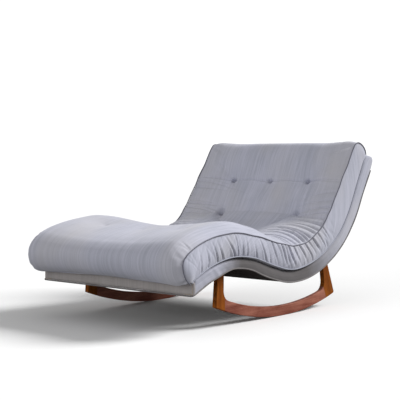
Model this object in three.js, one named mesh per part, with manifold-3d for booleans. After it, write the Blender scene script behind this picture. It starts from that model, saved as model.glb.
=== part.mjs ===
// Rocking chaise lounge: a double-width wave-shaped seat with a loose tufted cushion on two wooden rockers.
// Millimetres, +Z up. The foot end lies towards -Y, the head end towards +Y, the sitter's left towards +X.
// Pieces are drawn in side view, x from foot to head and y up, and reach across along z.
// One group turns that side view upright and sets the origin under the middle of the whole chaise.
import * as THREE from "three";
import { mergeVertices } from "three/addons/utils/BufferGeometryUtils.js";
import Module from "manifold-3d";

const wasm = await Module();
wasm.setup();

// Clearance between neighbouring pieces, and how far a cut runs past what it cuts
const gap = 0.3;
const overrun = 40;

// Deck: the upper face of the base, seen from the side
const deckLength = 1488;
const deckHeight = 797;
const stationSpacing = 64;
const deckShares = [
  [0, 0.304],
  [0.102, 0.376],
  [0.209, 0.409],
  [0.315, 0.388],
  [0.42, 0.329],
  [0.526, 0.286],
  [0.634, 0.309],
  [0.736, 0.38],
  [0.826, 0.49],
  [0.895, 0.645],
  [0.947, 0.823],
  [1, 1],
];

// Base: a padded frame in a fabric cover
const baseWidth = 994;
const baseThickness = 60;
const footSetback = 18;
const coverThickness = 3;
const hemWidth = 26;
const padThickness = 8;
const dustCoverThickness = 1.5;
const dustCoverInset = 16;
const baseWeltRadius = 3.5;
const baseShares = [
  [0, 1.04],
  [0.09, 0.98],
  [0.19, 0.74],
  [0.25, 0.76],
  [0.33, 0.9],
  [0.46, 0.89],
  [0.56, 1.01],
  [0.7, 1.06],
  [0.86, 1.24],
  [1, 1.42],
];
const headEndShares = [
  [0.3, 0.1],
  [0.43, 0.36],
  [0.48, 0.66],
  [0.42, 0.9],
];

// Frame inside the base
const sideRailThickness = 49;
const crossRailWidth = 28;
const crossRailShares = [
  ["foot_rail", 0.028],
  ["hump_rail", 0.24],
  ["valley_rail", 0.47],
  ["back_rail", 0.79],
  ["head_rail", 0.983],
];
const webbingWidth = 76;
const webbingThickness = 2;
const webbingInset = 14;
const webbingCount = 8;
const webbingReachShares = [0.075, 0.94];

// Rockers: a front post, a runner and a rear post on each side
const rockerInset = 53;
const rockerThickness = 25.5;
const rockerRadius = 1587;
const rockerContact = 801;
const rockerFrontReach = 552;
const rockerRearReach = 464;
const rockerFacet = 46;
const rockerEase = 2.5;
const runnerDepth = 52;
const frontPostWidth = 43;
const frontPostFoot = 58;
const frontPostLean = 0.086;
const frontBoardWidth = 66;
const rearPostFoot = 92;
const rearPostLean = -0.46;
const rearInnerLean = -0.17;
const rearBoardWidth = 89;
const frontCornerRadius = 7;
const rearCornerRadius = 10;
const frontFilletRadius = 52;
const rearFilletRadius = 50;
const postTopClearance = 4;

// Loose tenons in the rocker joints
const tenonLength = 50;
const tenonHeight = 28;
const tenonThickness = 8;

// Bolts and tee nuts that hold the posts to the side rails
const boltRadius = 3;
const boltHeadRadius = 6.5;
const boltHeadHeight = 3.5;
const boltCrownShare = 0.7;
const boltSpacing = 22;
const nutBarrelRadius = 4.2;
const nutBarrelLength = 12;
const nutFlangeRadius = 8.5;
const nutFlangeThickness = 1.6;

// Cushion: one long pad over the whole deck
const cushionOverhang = 13;
const cushionThickness = 130;
const cushionFootThickness = 127;
const cushionHeadThickness = 138;
const cushionWeltRadius = 4;
const boxingDrawIn = 8;
const lowerSeamLift = 7;
const footprintInset = 30;
const panelEdgeReach = 100;
const panelPuff = 9;
const panelRollShares = [0.12, 0.4, 0.9];
const stationClearShare = 0.6;
const sideShares = [
  [0, 0.98],
  [0.09, 1.01],
  [0.18, 0.94],
  [0.25, 0.87],
  [0.32, 0.9],
  [0.42, 0.98],
  [0.5, 0.98],
  [0.545, 0.95],
  [0.64, 1.05],
  [0.73, 1.24],
  [0.8, 1.3],
  [0.87, 1.24],
  [0.94, 1.1],
  [1, 1.06],
];
const panelShares = [
  [0, 1.2],
  [0.09, 1.22],
  [0.18, 1.23],
  [0.25, 1.13],
  [0.34, 1.06],
  [0.48, 1.06],
  [0.6, 1.08],
  [0.72, 1.16],
  [0.82, 1.17],
  [0.93, 1.17],
  [1, 1.12],
];
const footNoseShares = [
  [0.06, 0.08],
  [0.15, 0.22],
  [0.21, 0.44],
  [0.2, 0.66],
  [0.11, 0.86],
  [-0.08, 0.95],
];
const headNoseShares = [
  [-0.1, 0.99],
  [0.12, 0.94],
  [0.24, 0.83],
  [0.31, 0.63],
  [0.31, 0.38],
  [0.24, 0.18],
  [0.13, 0.07],
];
const noseCrownShares = [0.15, 0.4, 0.6, 0.75, 0.85, 0.95];

// Tufts: rows of buttons that pull the top panel down
const tuftSpacing = 260;
const tuftDepth = 30;
const tuftFloor = 14;
const tuftRim = 42;
const tuftReach = 105;
const creaseDepth = 8;
const creaseReach = 26;
const buttonRadius = 10;
const buttonHeight = 6;
const buttonRimShare = 0.33;
const tuftRows = [
  { name: "foot", share: 0.142, depthShare: 0.75, creaseShare: 0, columns: [-1, 0, 1] },
  { name: "lumbar", share: 0.734, depthShare: 1.1, creaseShare: 0.3, columns: [-1, 1] },
  { name: "shoulder", share: 0.883, depthShare: 1, creaseShare: 1, columns: [-1, 0, 1] },
];

// Counts of facets, rings and columns
const boltSides = 8;
const weltSides = 5;
const buttonRings = 3;
const filletSteps = 5;
const settleSteps = 5;
const tenonSegments = 4;

// Sizes that follow from the ones above
const baseHalf = baseWidth / 2;
const skinInner = coverThickness + gap;
const padBottom = skinInner + padThickness;
const webbingTop = padBottom + gap;
const railTop = webbingTop + webbingThickness + gap;
const sideRailOuter = baseHalf - skinInner;
const sideRailInner = sideRailOuter - sideRailThickness;
const rockerOuter = Math.min(baseHalf - rockerInset, sideRailInner - gap);
const rockerMiddle = rockerOuter - rockerThickness / 2;
const seamHalf = baseHalf + cushionOverhang - cushionWeltRadius * 2 - gap;

// Materials
const materials = {
  fabric: new THREE.MeshStandardMaterial({ color: 0x9a9bad, roughness: 0.9, metalness: 0 }),
  welt: new THREE.MeshStandardMaterial({ color: 0x8b8c9f, roughness: 0.9, metalness: 0 }),
  lining: new THREE.MeshStandardMaterial({ color: 0x1d1a19, roughness: 0.95, metalness: 0 }),
  padding: new THREE.MeshStandardMaterial({ color: 0xe6e0cf, roughness: 0.95, metalness: 0 }),
  webbing: new THREE.MeshStandardMaterial({ color: 0xb39b73, roughness: 0.9, metalness: 0 }),
  walnut: new THREE.MeshStandardMaterial({ color: 0x8a4a24, roughness: 0.5, metalness: 0 }),
  frameWood: new THREE.MeshStandardMaterial({ color: 0xc9a878, roughness: 0.7, metalness: 0 }),
  steel: new THREE.MeshStandardMaterial({ color: 0xa8a9ab, roughness: 0.4, metalness: 0.9 }),
};

// Value of a table of [place, value] pairs at a place, eased between its entries
function fromTable(table, place) {
  if (place <= table[0][0]) {
    return table[0][1];
  }
  for (let i = 1; i < table.length; i += 1) {
    const [low, high] = [table[i - 1], table[i]];
    if (place <= high[0]) {
      const t = THREE.MathUtils.smoothstep(place, low[0], high[0]);
      return THREE.MathUtils.lerp(low[1], high[1], t);
    }
  }
  return table[table.length - 1][1];
}

// Deck line and its stations
const deckPoints = deckShares.map(([along, up]) => new THREE.Vector2(along * deckLength, up * deckHeight));
const deckCurve = new THREE.SplineCurve(deckPoints);
const deckRun = deckCurve.getLength();

// Place, forward direction and outward direction of the deck at a share of its run
function deckFrame(share) {
  const held = THREE.MathUtils.clamp(share, 0, 1);
  const ahead = deckCurve.getTangentAt(held);
  const point = deckCurve.getPointAt(held).addScaledVector(ahead, (share - held) * deckRun);
  return { point, ahead, up: new THREE.Vector2(-ahead.y, ahead.x) };
}

// Stations along the deck: an even pitch, with four more across each row of tufts
function deckStations() {
  const rows = tuftRows.flatMap(({ share }) =>
    [-tuftRim, -tuftFloor, tuftFloor, tuftRim].map((step) => share + step / deckRun),
  );
  const count = Math.round(deckRun / stationSpacing);
  const even = Array.from({ length: count + 1 }, (_, i) => i / count);
  const clear = even.filter((share) => rows.every((row) => Math.abs(row - share) * deckRun > tuftRim / 2));
  return [...rows, ...clear].sort((a, b) => a - b);
}

const stations = deckStations();
const pitchShare = stationSpacing / deckRun;
const lineShares = [-2 * pitchShare, -pitchShare, ...stations];

// Depth of the underside of the base below the deck
function underside(share) {
  return baseThickness * fromTable(baseShares, share);
}

// Point at a share of a line that lies at a depth below the deck, straight between the deck's stations
function pointOn(depthOf, share) {
  const at = Math.max(
    1,
    lineShares.findIndex((station) => station >= share),
  );
  const [low, high] = [lineShares[at - 1], lineShares[at]];
  const [start, end] = [low, high].map((station) => {
    const { point, up } = deckFrame(station);
    return point.addScaledVector(up, -depthOf(station));
  });
  return start.lerp(end, (share - low) / (high - low));
}

// Points of such a line between two shares, with every station in between
function lineBetween(depthOf, from, to) {
  const between = lineShares.filter((share) => share > from && share < to);
  return [from, ...between, to].map((share) => pointOn(depthOf, share));
}

// The same line from a face square to the length up to the head end of the deck
function lineFromFace(depthOf, face) {
  const whole = lineBetween(depthOf, lineShares[0], 1);
  const first = whole.findIndex((point) => point.x > face);
  const [before, after] = [whole[first - 1], whole[first]];
  const start = before.clone().lerp(after, (face - before.x) / (after.x - before.x));
  return [start, ...whole.slice(first)];
}

// Height of such a line above the floor at a place along the length
function heightOn(depthOf, x) {
  return lineFromFace(depthOf, x)[0].y;
}

// Depth that is the same all along, and the depth of the underside drawn in by a skin
const evenly = (depth) => () => depth;
const insideUnderside = (skin) => (share) => underside(share) - skin;

// Rounded head end of the base drawn in by a skin, from a depth below the deck down to the underside
function headEnd(topDepth, skin) {
  const { point, ahead, up } = deckFrame(1);
  const inner = underside(1) - 2 * skin;
  const nose = [[0, 0], ...headEndShares].map(([outShare, downShare]) => {
    return new THREE.Vector2(outShare * inner, skin + downShare * inner);
  });
  const first = nose.findIndex((place) => place.y > topDepth);
  const [before, after] = [nose[first - 1], nose[first]];
  const start = before.clone().lerp(after, (topDepth - before.y) / (after.y - before.y));
  return [start, ...nose.slice(first)].map((place) =>
    point.clone().addScaledVector(ahead, place.x).addScaledVector(up, -place.y),
  );
}

// Side view of the base drawn in by a skin, with its upper face at a depth of its own
function baseOutline(topDepth, skin) {
  const upper = lineFromFace(evenly(topDepth), footSetback + skin);
  const lower = lineFromFace(insideUnderside(skin), footSetback + skin);
  const end = headEnd(topDepth, skin).filter((point) => point.distanceTo(upper[upper.length - 1]) > gap);
  return [...upper, ...end, ...lower.reverse()];
}

// Closed strip between two lines
function strip(upper, lower) {
  return [...upper, ...lower.reverse()];
}

// Slab: a side view given a thickness, centred on z = 0
function slab(outline, thickness, holes = []) {
  const shape = new THREE.Shape(outline);
  shape.holes = holes.map((hole) => new THREE.Path(hole));
  const geometry = new THREE.ExtrudeGeometry(shape, { depth: thickness, bevelEnabled: false });
  return geometry.translate(0, 0, -thickness / 2);
}

// Closed surface through rings of points, with both ends capped
function loft(rings) {
  const sides = rings[0].length;
  const positions = rings.flat().flatMap((point) => [point.x, point.y, point.z]);
  const faces = [];
  for (let ring = 0; ring + 1 < rings.length; ring += 1) {
    for (let side = 0; side < sides; side += 1) {
      const here = ring * sides + side;
      const next = ring * sides + ((side + 1) % sides);
      faces.push(here, next, next + sides, here, next + sides, here + sides);
    }
  }
  const last = (rings.length - 1) * sides;
  for (const [a, b, c] of capFaces(rings[0])) {
    faces.push(a, c, b);
  }
  for (const [a, b, c] of capFaces(rings[rings.length - 1])) {
    faces.push(last + a, last + b, last + c);
  }
  const geometry = new THREE.BufferGeometry();
  geometry.setAttribute("position", new THREE.Float32BufferAttribute(positions, 3));
  geometry.setIndex(faces);
  return facingOut(geometry);
}

// Triangles that fill a ring, which lies in a plane through the z direction
function capFaces(ring) {
  const low = ring.reduce((a, b) => (b.y < a.y ? b : a));
  const high = ring.reduce((a, b) => (b.y > a.y ? b : a));
  const along = new THREE.Vector3(high.x - low.x, high.y - low.y, 0).normalize();
  const flat = ring.map((point) => new THREE.Vector2(point.z, point.clone().sub(low).dot(along)));
  const turned = THREE.ShapeUtils.isClockWise(flat);
  const faces = THREE.ShapeUtils.triangulateShape(flat, []);
  return faces.map(([a, b, c]) => {
    const clockwise = THREE.ShapeUtils.isClockWise([flat[a], flat[b], flat[c]]);
    return clockwise === turned ? [a, b, c] : [a, c, b];
  });
}

// Turns a closed surface so that its faces point out
function facingOut(geometry) {
  const index = geometry.getIndex();
  const position = geometry.getAttribute("position");
  const corner = (i) => new THREE.Vector3().fromBufferAttribute(position, index.getX(i));
  let volume = 0;
  for (let i = 0; i < index.count; i += 3) {
    volume += corner(i).dot(corner(i + 1).cross(corner(i + 2)));
  }
  if (volume < 0) {
    index.array.reverse();
  }
  return geometry;
}

// Solid made from a closed geometry, for cutting
function solidOf(geometry) {
  const bare = geometry.clone();
  bare.deleteAttribute("normal");
  bare.deleteAttribute("uv");
  const merged = mergeVertices(bare);
  const vertProperties = new Float32Array(merged.getAttribute("position").array);
  const triVerts = new Uint32Array(merged.getIndex().array);
  return new wasm.Manifold(new wasm.Mesh({ numProp: 3, vertProperties, triVerts }));
}

// Geometry made from a solid
function geometryOf(solid) {
  const { vertProperties, triVerts } = solid.getMesh();
  const geometry = new THREE.BufferGeometry();
  geometry.setAttribute("position", new THREE.Float32BufferAttribute(vertProperties, 3));
  geometry.setIndex(Array.from(triVerts));
  geometry.computeVertexNormals();
  return geometry;
}

// Cuts other geometries out of one
function cut(geometry, cutters) {
  return geometryOf(cutters.reduce((solid, cutter) => solid.subtract(solidOf(cutter)), solidOf(geometry)));
}

// Outline with each corner rounded by its own radius
function roundedOutline(corners) {
  return corners.flatMap(({ at, radius }, i) => {
    if (!radius) {
      return [at];
    }
    const before = corners[(i + corners.length - 1) % corners.length].at;
    const after = corners[(i + 1) % corners.length].at;
    const back = before.clone().sub(at).normalize();
    const on = after.clone().sub(at).normalize();
    const half = Math.acos(THREE.MathUtils.clamp(back.dot(on), -1, 1)) / 2;
    const reach = radius / Math.tan(half);
    const start = at.clone().addScaledVector(back, reach);
    const end = at.clone().addScaledVector(on, reach);
    const centre = at.clone().addScaledVector(back.clone().add(on).normalize(), radius / Math.sin(half));
    const from = start.clone().sub(centre).angle();
    const turn = end.clone().sub(centre).angle() - from;
    const sweep = THREE.MathUtils.euclideanModulo(turn + Math.PI, 2 * Math.PI) - Math.PI;
    return Array.from({ length: filletSteps + 1 }, (_, step) => {
      const angle = from + (sweep * step) / filletSteps;
      return new THREE.Vector2(Math.cos(angle), Math.sin(angle)).multiplyScalar(radius).add(centre);
    });
  });
}

// Height of the rocker's arc, drawn in by a depth, at a place along the length
function arcHeight(depth, x) {
  return rockerRadius - Math.sqrt((rockerRadius - depth) ** 2 - (x - rockerContact) ** 2);
}

// Arc of a rocker in equal facets, with one facet flat on the floor under the contact
function arcPoints(depth, from, to) {
  const points = [];
  const first = Math.ceil((from - rockerContact) / rockerFacet - 0.5) + 0.5;
  for (let step = first; rockerContact + step * rockerFacet < to; step += 1) {
    const x = rockerContact + step * rockerFacet;
    points.push(new THREE.Vector2(x, arcHeight(depth, x)));
  }
  return points;
}

// Point where a leaning line from a foot point reaches a line that lies at a depth below the deck
function leaningUp(foot, lean, depthOf) {
  let top = foot.clone();
  for (let step = 0; step < settleSteps; step += 1) {
    top = new THREE.Vector2(foot.x + lean * (top.y - foot.y), heightOn(depthOf, top.x));
  }
  return top;
}

// Depth of the post tops, which end inside the base
const postTopDepth = evenly(railTop + postTopClearance);

// Corners of the rocker's side view that the posts, runner, bolts and joints share
function rockerCorners() {
  const frontX = rockerContact - rockerFrontReach;
  const rearX = rockerContact + rockerRearReach;
  const frontFoot = new THREE.Vector2(frontX, arcHeight(0, frontX));
  const rearFoot = new THREE.Vector2(rearX, arcHeight(0, rearX));
  const onRunner = (x) => new THREE.Vector2(x, arcHeight(runnerDepth, x));
  const frontInner = onRunner(frontX + frontPostFoot);
  const rearInner = onRunner(rearX - rearPostFoot);
  const frontTop = leaningUp(frontFoot, frontPostLean, postTopDepth);
  const rearTop = leaningUp(rearFoot, rearPostLean, postTopDepth);
  const frontInnerX = frontTop.x + frontPostWidth;
  const frontInnerTop = new THREE.Vector2(frontInnerX, heightOn(postTopDepth, frontInnerX));
  const rearInnerTop = leaningUp(rearInner, rearInnerLean, postTopDepth);
  return { frontFoot, rearFoot, frontInner, rearInner, frontTop, rearTop, frontInnerTop, rearInnerTop };
}

const rocker = rockerCorners();

// Side view of a whole rocker: both posts and the runner before they are parted
function rockerOutline() {
  const plain = (at) => ({ at, radius: 0 });
  const under = arcPoints(0, rocker.frontFoot.x + frontCornerRadius, rocker.rearFoot.x - rearCornerRadius);
  const over = arcPoints(
    runnerDepth,
    rocker.frontInner.x + frontFilletRadius,
    rocker.rearInner.x - rearFilletRadius,
  );
  return roundedOutline([
    plain(rocker.frontTop),
    { at: rocker.frontFoot, radius: frontCornerRadius },
    ...under.map(plain),
    { at: rocker.rearFoot, radius: rearCornerRadius },
    plain(rocker.rearTop),
    plain(rocker.rearInnerTop),
    { at: rocker.rearInner, radius: rearFilletRadius },
    ...over.reverse().map(plain),
    { at: rocker.frontInner, radius: frontFilletRadius },
    plain(rocker.frontInnerTop),
  ]);
}

// Joint lines between the posts and the runner: a place on each and the way that it runs
function rockerJoints() {
  const frontX = rocker.frontFoot.x + frontBoardWidth;
  const rearX = rocker.rearFoot.x - rearBoardWidth;
  const middleAt = (x) => new THREE.Vector2(x, (arcHeight(0, x) + arcHeight(runnerDepth, x)) / 2);
  return {
    front: { middle: middleAt(frontX), lean: 0 },
    rear: { middle: middleAt(rearX), lean: -Math.atan(rearPostLean) },
  };
}

const joints = rockerJoints();

// Block that covers one side of a joint line, for parting the rocker
function beyondJoint({ middle, lean }, way, clear) {
  const reach = 2 * (rockerFrontReach + rockerRearReach);
  const block = new THREE.BoxGeometry(reach, reach, rockerThickness + overrun);
  block.translate(way * (reach / 2 + clear), 0, 0);
  block.rotateZ(lean);
  return block.translate(middle.x, middle.y, 0);
}

// Whole rocker with eased edges
function rockerBlank() {
  const geometry = new THREE.ExtrudeGeometry(new THREE.Shape(rockerOutline()), {
    depth: rockerThickness - 2 * rockerEase,
    bevelThickness: rockerEase,
    bevelSize: rockerEase,
    bevelOffset: -rockerEase,
    bevelSegments: 1,
  });
  return geometry.translate(0, 0, rockerEase - rockerThickness / 2);
}

// Loose tenon across a joint, or its mortise when it is made larger all round
function tenon({ middle, lean }, larger) {
  const round = tenonThickness / 2 + larger;
  const halfHeight = tenonHeight / 2 + larger;
  const outline = new THREE.Shape();
  outline.absarc(0, halfHeight - round, round, 0, Math.PI);
  outline.absarc(0, round - halfHeight, round, Math.PI, 2 * Math.PI);
  const length = tenonLength + 2 * larger;
  const options = { depth: length, bevelEnabled: false, curveSegments: tenonSegments };
  const geometry = new THREE.ExtrudeGeometry(outline, options);
  geometry.translate(0, 0, -length / 2).rotateY(Math.PI / 2);
  return geometry.rotateZ(lean).translate(middle.x, middle.y, 0);
}

// Places of the bolts: side by side in the front post, one above the other in the narrower rear post
function frontBoltPlaces() {
  const middle = (rocker.frontTop.x + rocker.frontInnerTop.x) / 2;
  return [-1, 1].map((way) => {
    const x = middle + (way * boltSpacing) / 2;
    return new THREE.Vector2(x, (heightOn(underside, x) + heightOn(evenly(railTop), x)) / 2);
  });
}

function rearBoltPlaces() {
  const top = rocker.rearTop.clone().add(rocker.rearInnerTop).divideScalar(2);
  const foot = rocker.rearFoot.clone().add(rocker.rearInner).divideScalar(2);
  const lean = (top.x - foot.x) / (top.y - foot.y);
  const middle = leaningUp(foot, lean, underside).add(leaningUp(foot, lean, evenly(railTop))).divideScalar(2);
  const down = foot.sub(top).normalize();
  return [-1, 1].map((way) => middle.clone().addScaledVector(down, (way * boltSpacing) / 2));
}

const bolts = [...frontBoltPlaces(), ...rearBoltPlaces()];

// Turned piece on an axis across the chaise: profile points are [radius, distance towards the side]
function turned(profile, side, sides = boltSides) {
  const points = profile.map(([radius, out]) => new THREE.Vector2(radius, out));
  const geometry = new THREE.LatheGeometry(points, sides);
  return facingOut(mergedPositions(geometry.rotateX((side * Math.PI) / 2)));
}

// Geometry with its seams merged, so that it is closed
function mergedPositions(geometry) {
  geometry.deleteAttribute("normal");
  geometry.deleteAttribute("uv");
  return mergeVertices(geometry);
}

// Bolt from the inner face of a post to the outer end of its nut, measured from the middle of the rocker
function bolt(side) {
  const head = -rockerThickness / 2 - gap;
  const end = sideRailOuter - rockerMiddle - 2 * gap;
  return turned(
    [
      [0, head - boltHeadHeight],
      [boltHeadRadius * boltCrownShare, head - boltHeadHeight],
      [boltHeadRadius, head - boltHeadHeight / 2],
      [boltHeadRadius, head],
      [boltRadius, head],
      [boltRadius, end],
      [0, end],
    ],
    side,
  );
}

// Tee nut: a flange let into the outer face of the side rail, with a barrel round the bolt
function teeNut(side) {
  const face = sideRailOuter - rockerMiddle - gap;
  const bore = boltRadius + gap;
  return turned(
    [
      [bore, face],
      [bore, face - nutBarrelLength],
      [nutBarrelRadius, face - nutBarrelLength],
      [nutBarrelRadius, face - nutFlangeThickness],
      [nutFlangeRadius, face - nutFlangeThickness],
      [nutFlangeRadius, face],
      [bore, face],
    ],
    side,
  );
}

// Hole for a bolt and its nut through the post and the side rail
function boltHole(side, place) {
  const face = sideRailOuter - rockerMiddle;
  const nutSeat = face - gap - nutFlangeThickness - gap;
  const hole = turned(
    [
      [0, -rockerThickness / 2 - overrun],
      [boltRadius + gap, -rockerThickness / 2 - overrun],
      [boltRadius + gap, face - nutBarrelLength - 2 * gap],
      [nutBarrelRadius + gap, face - nutBarrelLength - 2 * gap],
      [nutBarrelRadius + gap, nutSeat],
      [nutFlangeRadius + gap, nutSeat],
      [nutFlangeRadius + gap, face + overrun],
      [0, face + overrun],
    ],
    side,
  );
  return hole.translate(place.x, place.y, side * rockerMiddle);
}

// Every bolt hole on one side, placed from the centre plane of a piece
function boltHoles(side, pieceMiddle) {
  return bolts.map((place) => boltHole(side, place).translate(0, 0, -side * pieceMiddle));
}

// Rocker pieces of one side
function rockerPieces(side) {
  const blank = rockerBlank();
  const mortises = [tenon(joints.front, gap), tenon(joints.rear, gap)];
  const holes = boltHoles(side, rockerMiddle);
  const behindFront = beyondJoint(joints.front, 1, -gap / 2);
  const beforeFront = beyondJoint(joints.front, -1, -gap / 2);
  const behindRear = beyondJoint(joints.rear, 1, -gap / 2);
  const beforeRear = beyondJoint(joints.rear, -1, -gap / 2);
  return {
    front_post: cut(blank, [behindFront, mortises[0], ...holes]),
    runner: cut(blank, [beforeFront, behindRear, ...mortises]),
    rear_post: cut(blank, [beforeRear, mortises[1], ...holes]),
  };
}

// Side rail of the base, sawn to the wave
function sideRail(side) {
  const middle = (sideRailOuter + sideRailInner) / 2;
  return cut(slab(baseOutline(railTop, skinInner), sideRailThickness), boltHoles(side, middle));
}

// Cross rail at a share of the deck, between the side rails
function crossRail(share) {
  const half = crossRailWidth / 2 / deckRun;
  const upper = lineBetween(evenly(railTop), share - half, share + half);
  const lower = lineBetween(insideUnderside(skinInner), share - half, share + half);
  return slab(strip(upper, lower), 2 * (sideRailInner - gap));
}

// Webbing strap across the frame
function webbingStrap(share) {
  const half = webbingWidth / 2 / deckRun;
  const upper = lineBetween(evenly(webbingTop), share - half, share + half);
  const lower = lineBetween(evenly(webbingTop + webbingThickness), share - half, share + half);
  return slab(strip(upper, lower), 2 * (sideRailOuter - webbingInset));
}

// Padding over the webbing
function deckPad() {
  const face = footSetback + skinInner;
  const upper = lineFromFace(evenly(skinInner), face);
  const lower = lineFromFace(evenly(padBottom), face);
  return slab(strip(upper, lower), 2 * sideRailOuter);
}

// Fabric cover of the base: closed above and round the sides, turned under in a hem below
function baseCover() {
  const cavity = slab(baseOutline(coverThickness, coverThickness), 2 * (baseHalf - coverThickness));
  const hemSkin = coverThickness + hemWidth;
  const upper = lineFromFace(insideUnderside(2 * coverThickness), footSetback + hemSkin);
  const lower = lineFromFace(insideUnderside(-overrun), footSetback + hemSkin);
  const opening = slab(strip(upper, lower), 2 * (baseHalf - hemSkin));
  return cut(slab(baseOutline(0, 0), baseWidth), [cavity, opening]);
}

// Dust cover tacked under the hem, with a hole for each post
function dustCover() {
  const face = footSetback + dustCoverInset;
  const upper = lineFromFace(insideUnderside(-gap), face);
  const lower = lineFromFace(insideUnderside(-gap - dustCoverThickness), face);
  const sheet = slab(strip(upper, lower), 2 * (baseHalf - dustCoverInset));
  const posts = [
    [rocker.frontFoot, rocker.frontTop, rocker.frontInnerTop, rocker.frontInner],
    [rocker.rearInner, rocker.rearInnerTop, rocker.rearTop, rocker.rearFoot],
  ];
  const holes = posts.flatMap((outline) => {
    const larger = outline.map((point, i) => {
      const away = i < outline.length / 2 ? -dustCoverThickness : dustCoverThickness;
      return new THREE.Vector2(point.x + away, point.y);
    });
    return [-1, 1].map((side) =>
      slab(larger, rockerThickness + 2 * dustCoverThickness).translate(0, 0, side * rockerMiddle),
    );
  });
  return cut(sheet, holes);
}

// Ring of a welt round a centre, with one corner towards the seam, which lies against both up and out
function weltRing(centre, up, out, radius) {
  const seamAngle = (-3 * Math.PI) / 4;
  return Array.from({ length: weltSides }, (_, i) => {
    const angle = seamAngle + (2 * Math.PI * i) / weltSides;
    return centre
      .clone()
      .addScaledVector(up, Math.sin(angle) * radius)
      .addScaledVector(out, Math.cos(angle) * radius);
  });
}

// Welt along the lower edge of the base: up one side, across the foot and back up the other
function baseWelt() {
  const reach = baseWeltRadius + gap;
  const lower = lineFromFace(underside, footSetback);
  const down = lower.map((point, i) => {
    const next = lower[Math.min(i + 1, lower.length - 1)];
    const last = lower[Math.max(i - 1, 0)];
    const ahead = next.clone().sub(last).normalize();
    return new THREE.Vector3(ahead.y, -ahead.x, 0);
  });
  const rings = (side) =>
    lower.slice(1).map((point, i) => {
      const centre = new THREE.Vector3(point.x, point.y, side * (baseHalf + reach * Math.SQRT1_2));
      centre.addScaledVector(down[i + 1], reach * Math.SQRT1_2);
      return weltRing(centre, down[i + 1], new THREE.Vector3(0, 0, side), baseWeltRadius);
    });
  const corner = (side) => {
    const away = reach * Math.SQRT1_2;
    const centre = new THREE.Vector3(lower[0].x - away, lower[0].y - away, side * (baseHalf + away));
    return weltRing(centre, new THREE.Vector3(0, -1, 0), new THREE.Vector3(-1, 0, side), baseWeltRadius);
  };
  return loft([...rings(1).reverse(), corner(1), corner(-1), ...rings(-1)]);
}

// Cushion section at each station: where the lower seam and the upper seam lie
function cushionSections() {
  const lift = evenly(-lowerSeamLift);
  const foot = deckFrame(0);
  const head = deckFrame(1);
  const pitch = pitchShare / (2 * footNoseShares.length);
  const sections = [];
  footNoseShares.forEach(([out, high], i) => {
    const upper = foot.point
      .clone()
      .addScaledVector(foot.ahead, -out * cushionFootThickness)
      .addScaledVector(foot.up, high * cushionFootThickness);
    const share = i * pitch;
    sections.push({ share, lower: pointOn(lift, share), upper, crownShare: noseCrownShares[i] });
  });
  const inner = stations.filter((share) => share * deckRun > stationClearShare * stationSpacing && share < 1);
  inner.forEach((share) => {
    const { point, up } = deckFrame(share);
    const upper = point.addScaledVector(up, cushionThickness * fromTable(sideShares, share));
    sections.push({ share, lower: pointOn(lift, share), upper, crownShare: 1 });
  });
  const last = headNoseShares.length - 1;
  headNoseShares.forEach(([out, high], i) => {
    const upper = head.point
      .clone()
      .addScaledVector(head.ahead, out * cushionHeadThickness)
      .addScaledVector(head.up, high * cushionHeadThickness);
    const share = 1 - (last - i) * pitch;
    const crownShare = noseCrownShares[Math.max(last - i - 1, 0)];
    sections.push({ share, lower: pointOn(lift, share), upper, crownShare });
  });
  return withNormals(sections);
}

// Adds the way out of the panel and the way out of the underside to each section
function withNormals(sections) {
  return sections.map((section, i) => {
    const next = sections[Math.min(i + 1, sections.length - 1)];
    const last = sections[Math.max(i - 1, 0)];
    const ahead = next.upper.clone().sub(last.upper).normalize();
    return { ...section, out: new THREE.Vector2(-ahead.y, ahead.x), up: deckFrame(section.share).up };
  });
}

const sections = cushionSections();

// Columns across the top panel: the edge's roll, then four across each outer column of tufts
function panelColumns() {
  const rolls = panelRollShares.map((share) => seamHalf - share * panelEdgeReach);
  const tufts = [tuftRim, tuftFloor, -tuftFloor, -tuftRim].map((away) => tuftSpacing + away);
  const half = [...rolls, ...tufts, tuftSpacing / 2, tuftRim, tuftFloor];
  return [...half.map((z) => -z), ...half.reverse()];
}

// How far the buttons pull the panel down at a place
function tuftDrop(z, share) {
  return tuftRows.reduce((drop, row) => {
    const along = (share - row.share) * deckRun;
    const crease = creaseDepth * row.creaseShare * Math.exp(-((along / creaseReach) ** 2));
    const pulls = row.columns.map((column) => {
      const away = Math.hypot(along, z - column * tuftSpacing);
      const wide = Math.exp(-((away / tuftReach) ** 2));
      const near = Math.exp(-((away / tuftRim) ** 2));
      return tuftDepth * row.depthShare * (wide + near);
    });
    return drop + crease + Math.max(...pulls);
  }, 0);
}

// Point of the top panel at a section and a place across
function panelPoint(section, z) {
  const { share, upper, out, crownShare } = section;
  const fromEdge = Math.min((seamHalf - Math.abs(z)) / panelEdgeReach, 1);
  const crown = cushionThickness * (fromTable(panelShares, share) - fromTable(sideShares, share));
  const rise = crown * Math.sin((fromEdge * Math.PI) / 2) + panelPuff * Math.sin(fromEdge * Math.PI);
  const height = crownShare * rise - tuftDrop(z, share) * crownShare * fromEdge;
  return new THREE.Vector3(upper.x + out.x * height, upper.y + out.y * height, z);
}

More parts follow.
